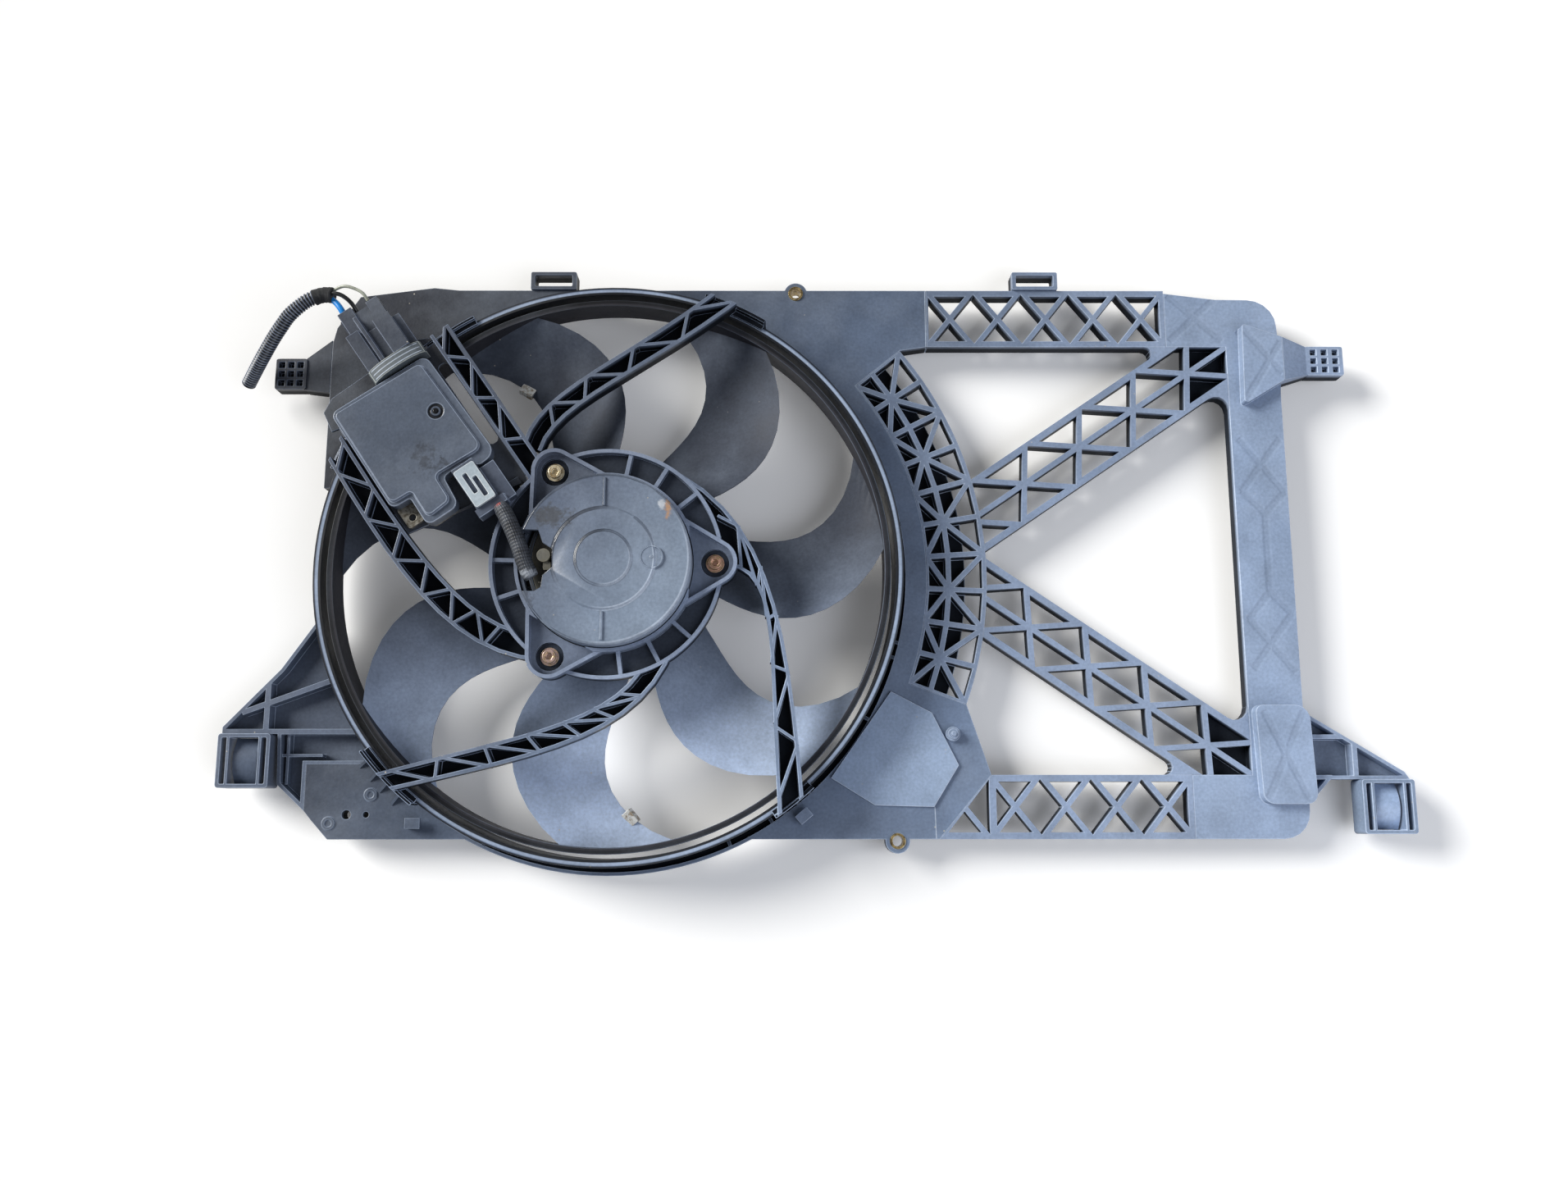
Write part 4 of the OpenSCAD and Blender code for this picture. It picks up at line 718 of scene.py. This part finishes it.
# Plugs
# The harness plug pushes into the controller's long side through a grey-green rubber seal. The motor's plug
# clips to its short side under a pale latch that slides.
plug_fade = (-0.24, -0.1)
plug_nylon = moulded_nylon("plug_nylon", "#3a404c", "#4d5565", fade=plug_fade, roughness=0.42, dust=0.3)
plug_edges = moulded_nylon("plug_edges", "#6a7386", "#8d99ad", fade=plug_fade, roughness=0.34)
softened("main_plug", plug_nylon, plug_edges)
softened("motor_plug", plug_nylon, plug_edges)
seal_ribs = (
    ((-152.4, 121.6), (-124.6, 141.1)),
    ((-154.2, 124.0), (-126.3, 143.6)),
    ((-155.9, 126.5), (-128.1, 146.0)),
)
seal_rubber = moulded_nylon("seal_rubber", "#525a5f", "#6d7579", fade=plug_fade, roughness=0.6, dust=0.5,
                            scratches=seal_ribs)
seal_lip = moulded_nylon("seal_lip", "#a6aca8", "#b8bdb8", fade=plug_fade, roughness=0.5, dust=0.3)
softened("plug_seal", seal_rubber, seal_lip, radius=0.4 * MM)
latch_plastic = moulded_nylon("latch_plastic", "#adbac3", "#c8d4db", fade=(-0.12, -0.06), roughness=0.30,
                              dust=0.5)
latch_edges = moulded_nylon("latch_edges", "#dfe7ec", "#eef3f5", fade=(-0.12, -0.06), roughness=0.28)
softened("plug_latch", latch_plastic, latch_edges)


# Motor lead
# Two wires in a thick woven sleeve, from the motor's plug down into the cap's cut-out. The weave is grey
# with dust and shines along its top, and a little red shows where it enters the plug.
lead_route = (
    (-67.4, 35.1, 64.8), (-64.5, 31, 65.1), (-61, 24.5, 65.3), (-58, 18, 65.2), (-55.2, 11.5, 65),
    (-52.8, 5, 64.7), (-50.6, -1.5, 64.2), (-48.2, -7, 63.6), (-45.5, -11.5, 63),
)
lead_r = 5.3 * MM
lead_step = 1.2 * MM
curve_steps = 24
tube_sides = 24


def millimetres(points):
    return [Vector(p) * MM for p in points]


def along(route, step):
    """Points a step apart on the smooth curve through a route's points, and its length."""
    ends = [route[0] * 2 - route[1], *route, route[-1] * 2 - route[-2]]
    dense = []
    for i in range(1, len(ends) - 2):
        p, q, r, s = ends[i - 1:i + 3]
        for k in range(curve_steps):
            t = k / curve_steps
            dense.append(0.5 * (
                2 * q + (r - p) * t + (2 * p - 5 * q + 4 * r - s) * t ** 2 + (3 * q - p - 3 * r + s) * t ** 3
            ))
    dense.append(route[-1])
    total = sum((b - a).length for a, b in zip(dense, dense[1:]))
    count = max(1, round(total / step))
    points, walked, i = [dense[0]], 0.0, 0
    for n in range(1, count):
        while walked + (dense[i + 1] - dense[i]).length < total * n / count:
            walked += (dense[i + 1] - dense[i]).length
            i += 1
        left = total * n / count - walked
        points.append(dense[i].lerp(dense[i + 1], left / (dense[i + 1] - dense[i]).length))
    return points + [dense[-1]], total


def swept(name, rings, sides, finish):
    """A tube drawn out from one circle through rings of (centre, radius, direction); both ends are closed.

    Its UV map holds the turn round the tube and the metres along it.
    """
    made = bmesh.new()
    uv = made.loops.layers.uv.new("along")
    turn = Vector((0, 0, 1)).rotation_difference(rings[0][2])
    place = Matrix.Translation(rings[0][0]) @ turn.to_matrix().to_4x4() @ Matrix.Scale(rings[0][1], 4)
    bmesh.ops.create_circle(made, cap_ends=True, segments=sides, radius=1, matrix=place)
    edges = list(made.edges)
    far = 0.0
    for (before, _, old_way), (centre, radius, way) in zip(rings, rings[1:]):
        out = bmesh.ops.extrude_edge_only(made, edges=edges)["geom"]
        moved = [v for v in out if isinstance(v, bmesh.types.BMVert)]
        faces = [f for f in out if isinstance(f, bmesh.types.BMFace)]
        turn = old_way.rotation_difference(way) @ turn
        new_place = Matrix.Translation(centre) @ turn.to_matrix().to_4x4() @ Matrix.Scale(radius, 4)
        bmesh.ops.transform(made, matrix=new_place @ place.inverted(), verts=moved)
        back, near, place = place.inverted(), far, new_place
        far += (centre - before).length
        fresh = set(moved)
        for face in faces:
            angles = []
            for corner in face.loops:
                local = (place.inverted() if corner.vert in fresh else back) @ corner.vert.co
                angles.append(math.atan2(local.y, local.x) / math.tau)
            wraps = max(angles) - min(angles) > 0.5
            for corner, angle in zip(face.loops, angles):
                round_way = angle + 1 if wraps and angle < 0 else angle
                corner[uv].uv = (round_way, far if corner.vert in fresh else near)
        edges = [e for e in out if isinstance(e, bmesh.types.BMEdge) and all(v in fresh for v in e.verts)]
    bmesh.ops.contextual_create(made, geom=edges)
    bmesh.ops.recalc_face_normals(made, faces=made.faces)
    for face in made.faces:
        face.smooth = len(face.verts) < 5
    return finished(name, made, finish)


def directions(points):
    """The way that a line of points goes at each of them."""
    last = len(points) - 1
    return [(points[min(i + 1, last)] - points[max(i - 1, 0)]).normalized() for i in range(last + 1)]


def round_and_along(tree):
    """The turn round a swept tube and the metres along it, from its UV map."""
    parts = add(tree, "ShaderNodeSeparateXYZ", {0: add(tree, "ShaderNodeUVMap", uv_map="along").outputs[0]})
    return parts.outputs["X"], parts.outputs["Y"]


def woven_sleeve(name, strand, gap, crown, turns, pitch, roughness=0.4, blots=()):
    """A braided sleeve: two sets of strands that cross, along the tube's own UV map."""
    made, tree = blank_material(name)
    where = place_of(tree)
    turn, ahead = round_and_along(tree)
    round_way, long_way = product_of(tree, turn, turns), product_of(tree, ahead, 1 / pitch)
    waves = []
    for how in ("ADD", "SUBTRACT"):
        phase = product_of(tree, sum_of(tree, round_way, long_way, how), math.tau)
        waves.append(add(tree, "ShaderNodeMath", {0: phase}, operation="SINE").outputs[0])
    weave = between(tree, product_of(tree, *waves), -0.6, 0.8)
    dust = between(tree, grain_of(tree, where, 0.006, 5, 0.65), 0.4, 0.65, 0, 0.6)
    colour = mix_colour(tree, weave, gap, strand)
    colour = mix_colour(tree, dust, colour, mix_colour(tree, 0.5, colour, crown))
    colour = with_blots(tree, where, colour, blots)
    return surfaced(made, tree, colour, roughness, bump_of(tree, weave, 0.6, 0.0004))


lead_line, _ = along(millimetres(lead_route), lead_step)
lead_rings = []
for i, (p, d) in enumerate(zip(lead_line, directions(lead_line))):
    # The sleeve is slack, so it swells and narrows a little, and it is gathered in at its two ends
    share = i / (len(lead_line) - 1)
    gathered = 1 - 0.22 * max(0, 1 - share / 0.08) - 0.15 * max(0, (share - 0.94) / 0.06)
    slack = 1 + 0.035 * noise.noise(p / (7 * MM))
    lead_rings.append((p, lead_r * gathered * slack, d))
lead_marks = (((-46.5, -10, 63), (6, 5, 8), "#9aa1ab", 0.85), ((-68.5, 36.5, 66), (4, 3, 8), "#a03a34", 0.8))
lead_weave = woven_sleeve("lead_weave", "#3d414a", "#16181c", "#7f8794", turns=11, pitch=0.0042,
                          roughness=0.5, blots=lead_marks)
lead = swept("motor_lead_sleeve", lead_rings, tube_sides, lead_weave)
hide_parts("motor_lead")
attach(lead, "frame")


# Harness wires
# Three insulated wires from the back of the main plug into the conduit: a blue, a grey-white and a black one.
wire_routes = (
    ("blue_wire", 2.1, "#1e8be0", "#1467b8", (
        (-179.5, 169.5, 50), (-181.8, 173.5, 50.5), (-185.5, 178, 50), (-190.2, 181.3, 49.2),
        (-195, 182, 49.6),
    )),
    ("white_wire", 1.1, "#a9ada0", "#75786e", (
        (-162, 177, 55), (-167, 183, 56.5), (-178.5, 187.5, 55), (-189.8, 185.4, 50.2), (-195, 184.4, 50.6),
    )),
    ("black_wire", 1.45, "#1c1e22", "#0e0f12", (
        (-170.3, 170.7, 49), (-174.5, 177, 53), (-181.5, 182, 54), (-190.2, 183.4, 53), (-195, 183, 52),
    )),
)
wire_step = 0.8 * MM
wire_sides = 14


def insulation(name, plain, dirty):
    """Extruded insulation on a wire: smooth and glossy, with dirt in patches."""
    made, tree = blank_material(name)
    where = place_of(tree)
    patches = between(tree, grain_of(tree, where, 0.003, 4, 0.65), 0.48, 0.72)
    waves = bump_of(tree, grain_of(tree, where, 0.002, 2), 0.3, 0.0003)
    return surfaced(made, tree, mix_colour(tree, patches, plain, dirty), 0.32, waves)


for wire_name, wire_r, plain, dirty, points in wire_routes:
    line, _ = along(millimetres(points), wire_step)
    rings = [(p, wire_r * MM, d) for p, d in zip(line, directions(line))]
    wire = swept(wire_name, rings, wire_sides, insulation(wire_name + "_skin", plain, dirty))
    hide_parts("harness_wires")
    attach(wire, "frame")


# Conduit
# Corrugated split tube of black nylon round the harness. It leaves the wires at the main plug, bends over
# and lies down beside the left peg, where it was cut off. It is 94.5 mm long, all of it in the photograph.
conduit_route = millimetres((
    (-192, 183.5, 50), (-198, 182, 50.5), (-204, 179.5, 50.3), (-209.5, 176, 49.3), (-214.5, 172.5, 47.8),
    (-219, 169, 45.6), (-223, 165, 43), (-227, 161.3, 40), (-231, 157.5, 36.8), (-234.8, 153.8, 33.4),
    (-238.6, 150.2, 29.8), (-242.4, 146.8, 26), (-246, 143.8, 22), (-249.6, 141, 17.8), (-253.2, 138.2, 13.5),
    (-256.8, 135.4, 9.2),
))
conduit_r = 4.8 * MM
conduit_valley_r = 3.9 * MM
conduit_pitch = 2.1 * MM
conduit_bore_r = 3.4 * MM
conduit_bore_seen = 5 * MM

# Four rings of the mesh to each corrugation: two on the crest and two in the valley
conduit_line, conduit_length = along(conduit_route, conduit_pitch / 4)
conduit_rings = [
    (p, conduit_r if i % 4 < 2 else conduit_valley_r, d)
    for i, (p, d) in enumerate(zip(conduit_line, directions(conduit_line)))
]
# The cut end shows the wall and the start of the bore
cut_end, cut_way = conduit_line[-1], directions(conduit_line)[-1]
for back in (0, conduit_bore_seen):
    conduit_rings.append((cut_end - cut_way * back, conduit_bore_r, cut_way))


def ribbed_nylon(name, crest, valley, pitch):
    """Glossy black nylon whose crests are painted grey as a highlight, broken up by grain; they follow each
    other along the tube's UV map.
    """
    made, tree = blank_material(name)
    _, ahead = round_and_along(tree)
    turn = sum_of(tree, product_of(tree, ahead, 1 / pitch), 0.375)
    lap = add(tree, "ShaderNodeMath", {0: turn}, operation="FRACT").outputs[0]
    middle = sum_of(tree, lap, 0.5, "SUBTRACT")
    beside = add(tree, "ShaderNodeMath", {0: middle}, operation="ABSOLUTE").outputs[0]
    # The crests are painted grey, a painted highlight
    top = between(tree, beside, 0.10, 0.26, 1, 0)
    grain = between(tree, grain_of(tree, place_of(tree), 0.004, 4, 0.6), 0.35, 0.65, 0.45, 1)
    return surfaced(made, tree, mix_colour(tree, product_of(tree, top, grain), valley, crest), 0.34)


conduit = swept("conduit", conduit_rings, tube_sides,
                ribbed_nylon("conduit_nylon", "#8893a8", "#121418", conduit_pitch))

# Cloth tape that holds the conduit's mouth to the wires, wound in laps, with both its edges frayed
tape_route = (
    (-187.2, 182.8, 50.6), (-190, 183.2, 50.4), (-193, 183.3, 50.2), (-196.5, 182.5, 50.4),
    (-200, 181.2, 50.4),
)
tape_r = 4.95
tape_step = 0.35 * MM
tape_lap = 0.35
rings_per_lap = 9
frayed_rings = 5
tape_line, _ = along(millimetres(tape_route), tape_step)
tape_rings = []
for i, (p, d) in enumerate(zip(tape_line, directions(tape_line))):
    lap = tape_lap * ((i / rings_per_lap) % 1)
    at_edge = i < frayed_rings or i >= len(tape_line) - frayed_rings
    frayed = 0.5 * noise.noise(p / (1.1 * MM)) if at_edge else 0.12 * noise.noise(p / MM)
    tape_rings.append((p, (tape_r + lap + frayed) * MM, d))
tape_cloth = woven_sleeve("tape_cloth", "#2b2d31", "#131416", "#5a5d62", turns=26, pitch=0.0011,
                          roughness=0.75)
tape = swept("conduit_tape", tape_rings, tube_sides, tape_cloth)
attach(tape, "frame")

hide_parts("cable_conduit")
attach(conduit, "frame")
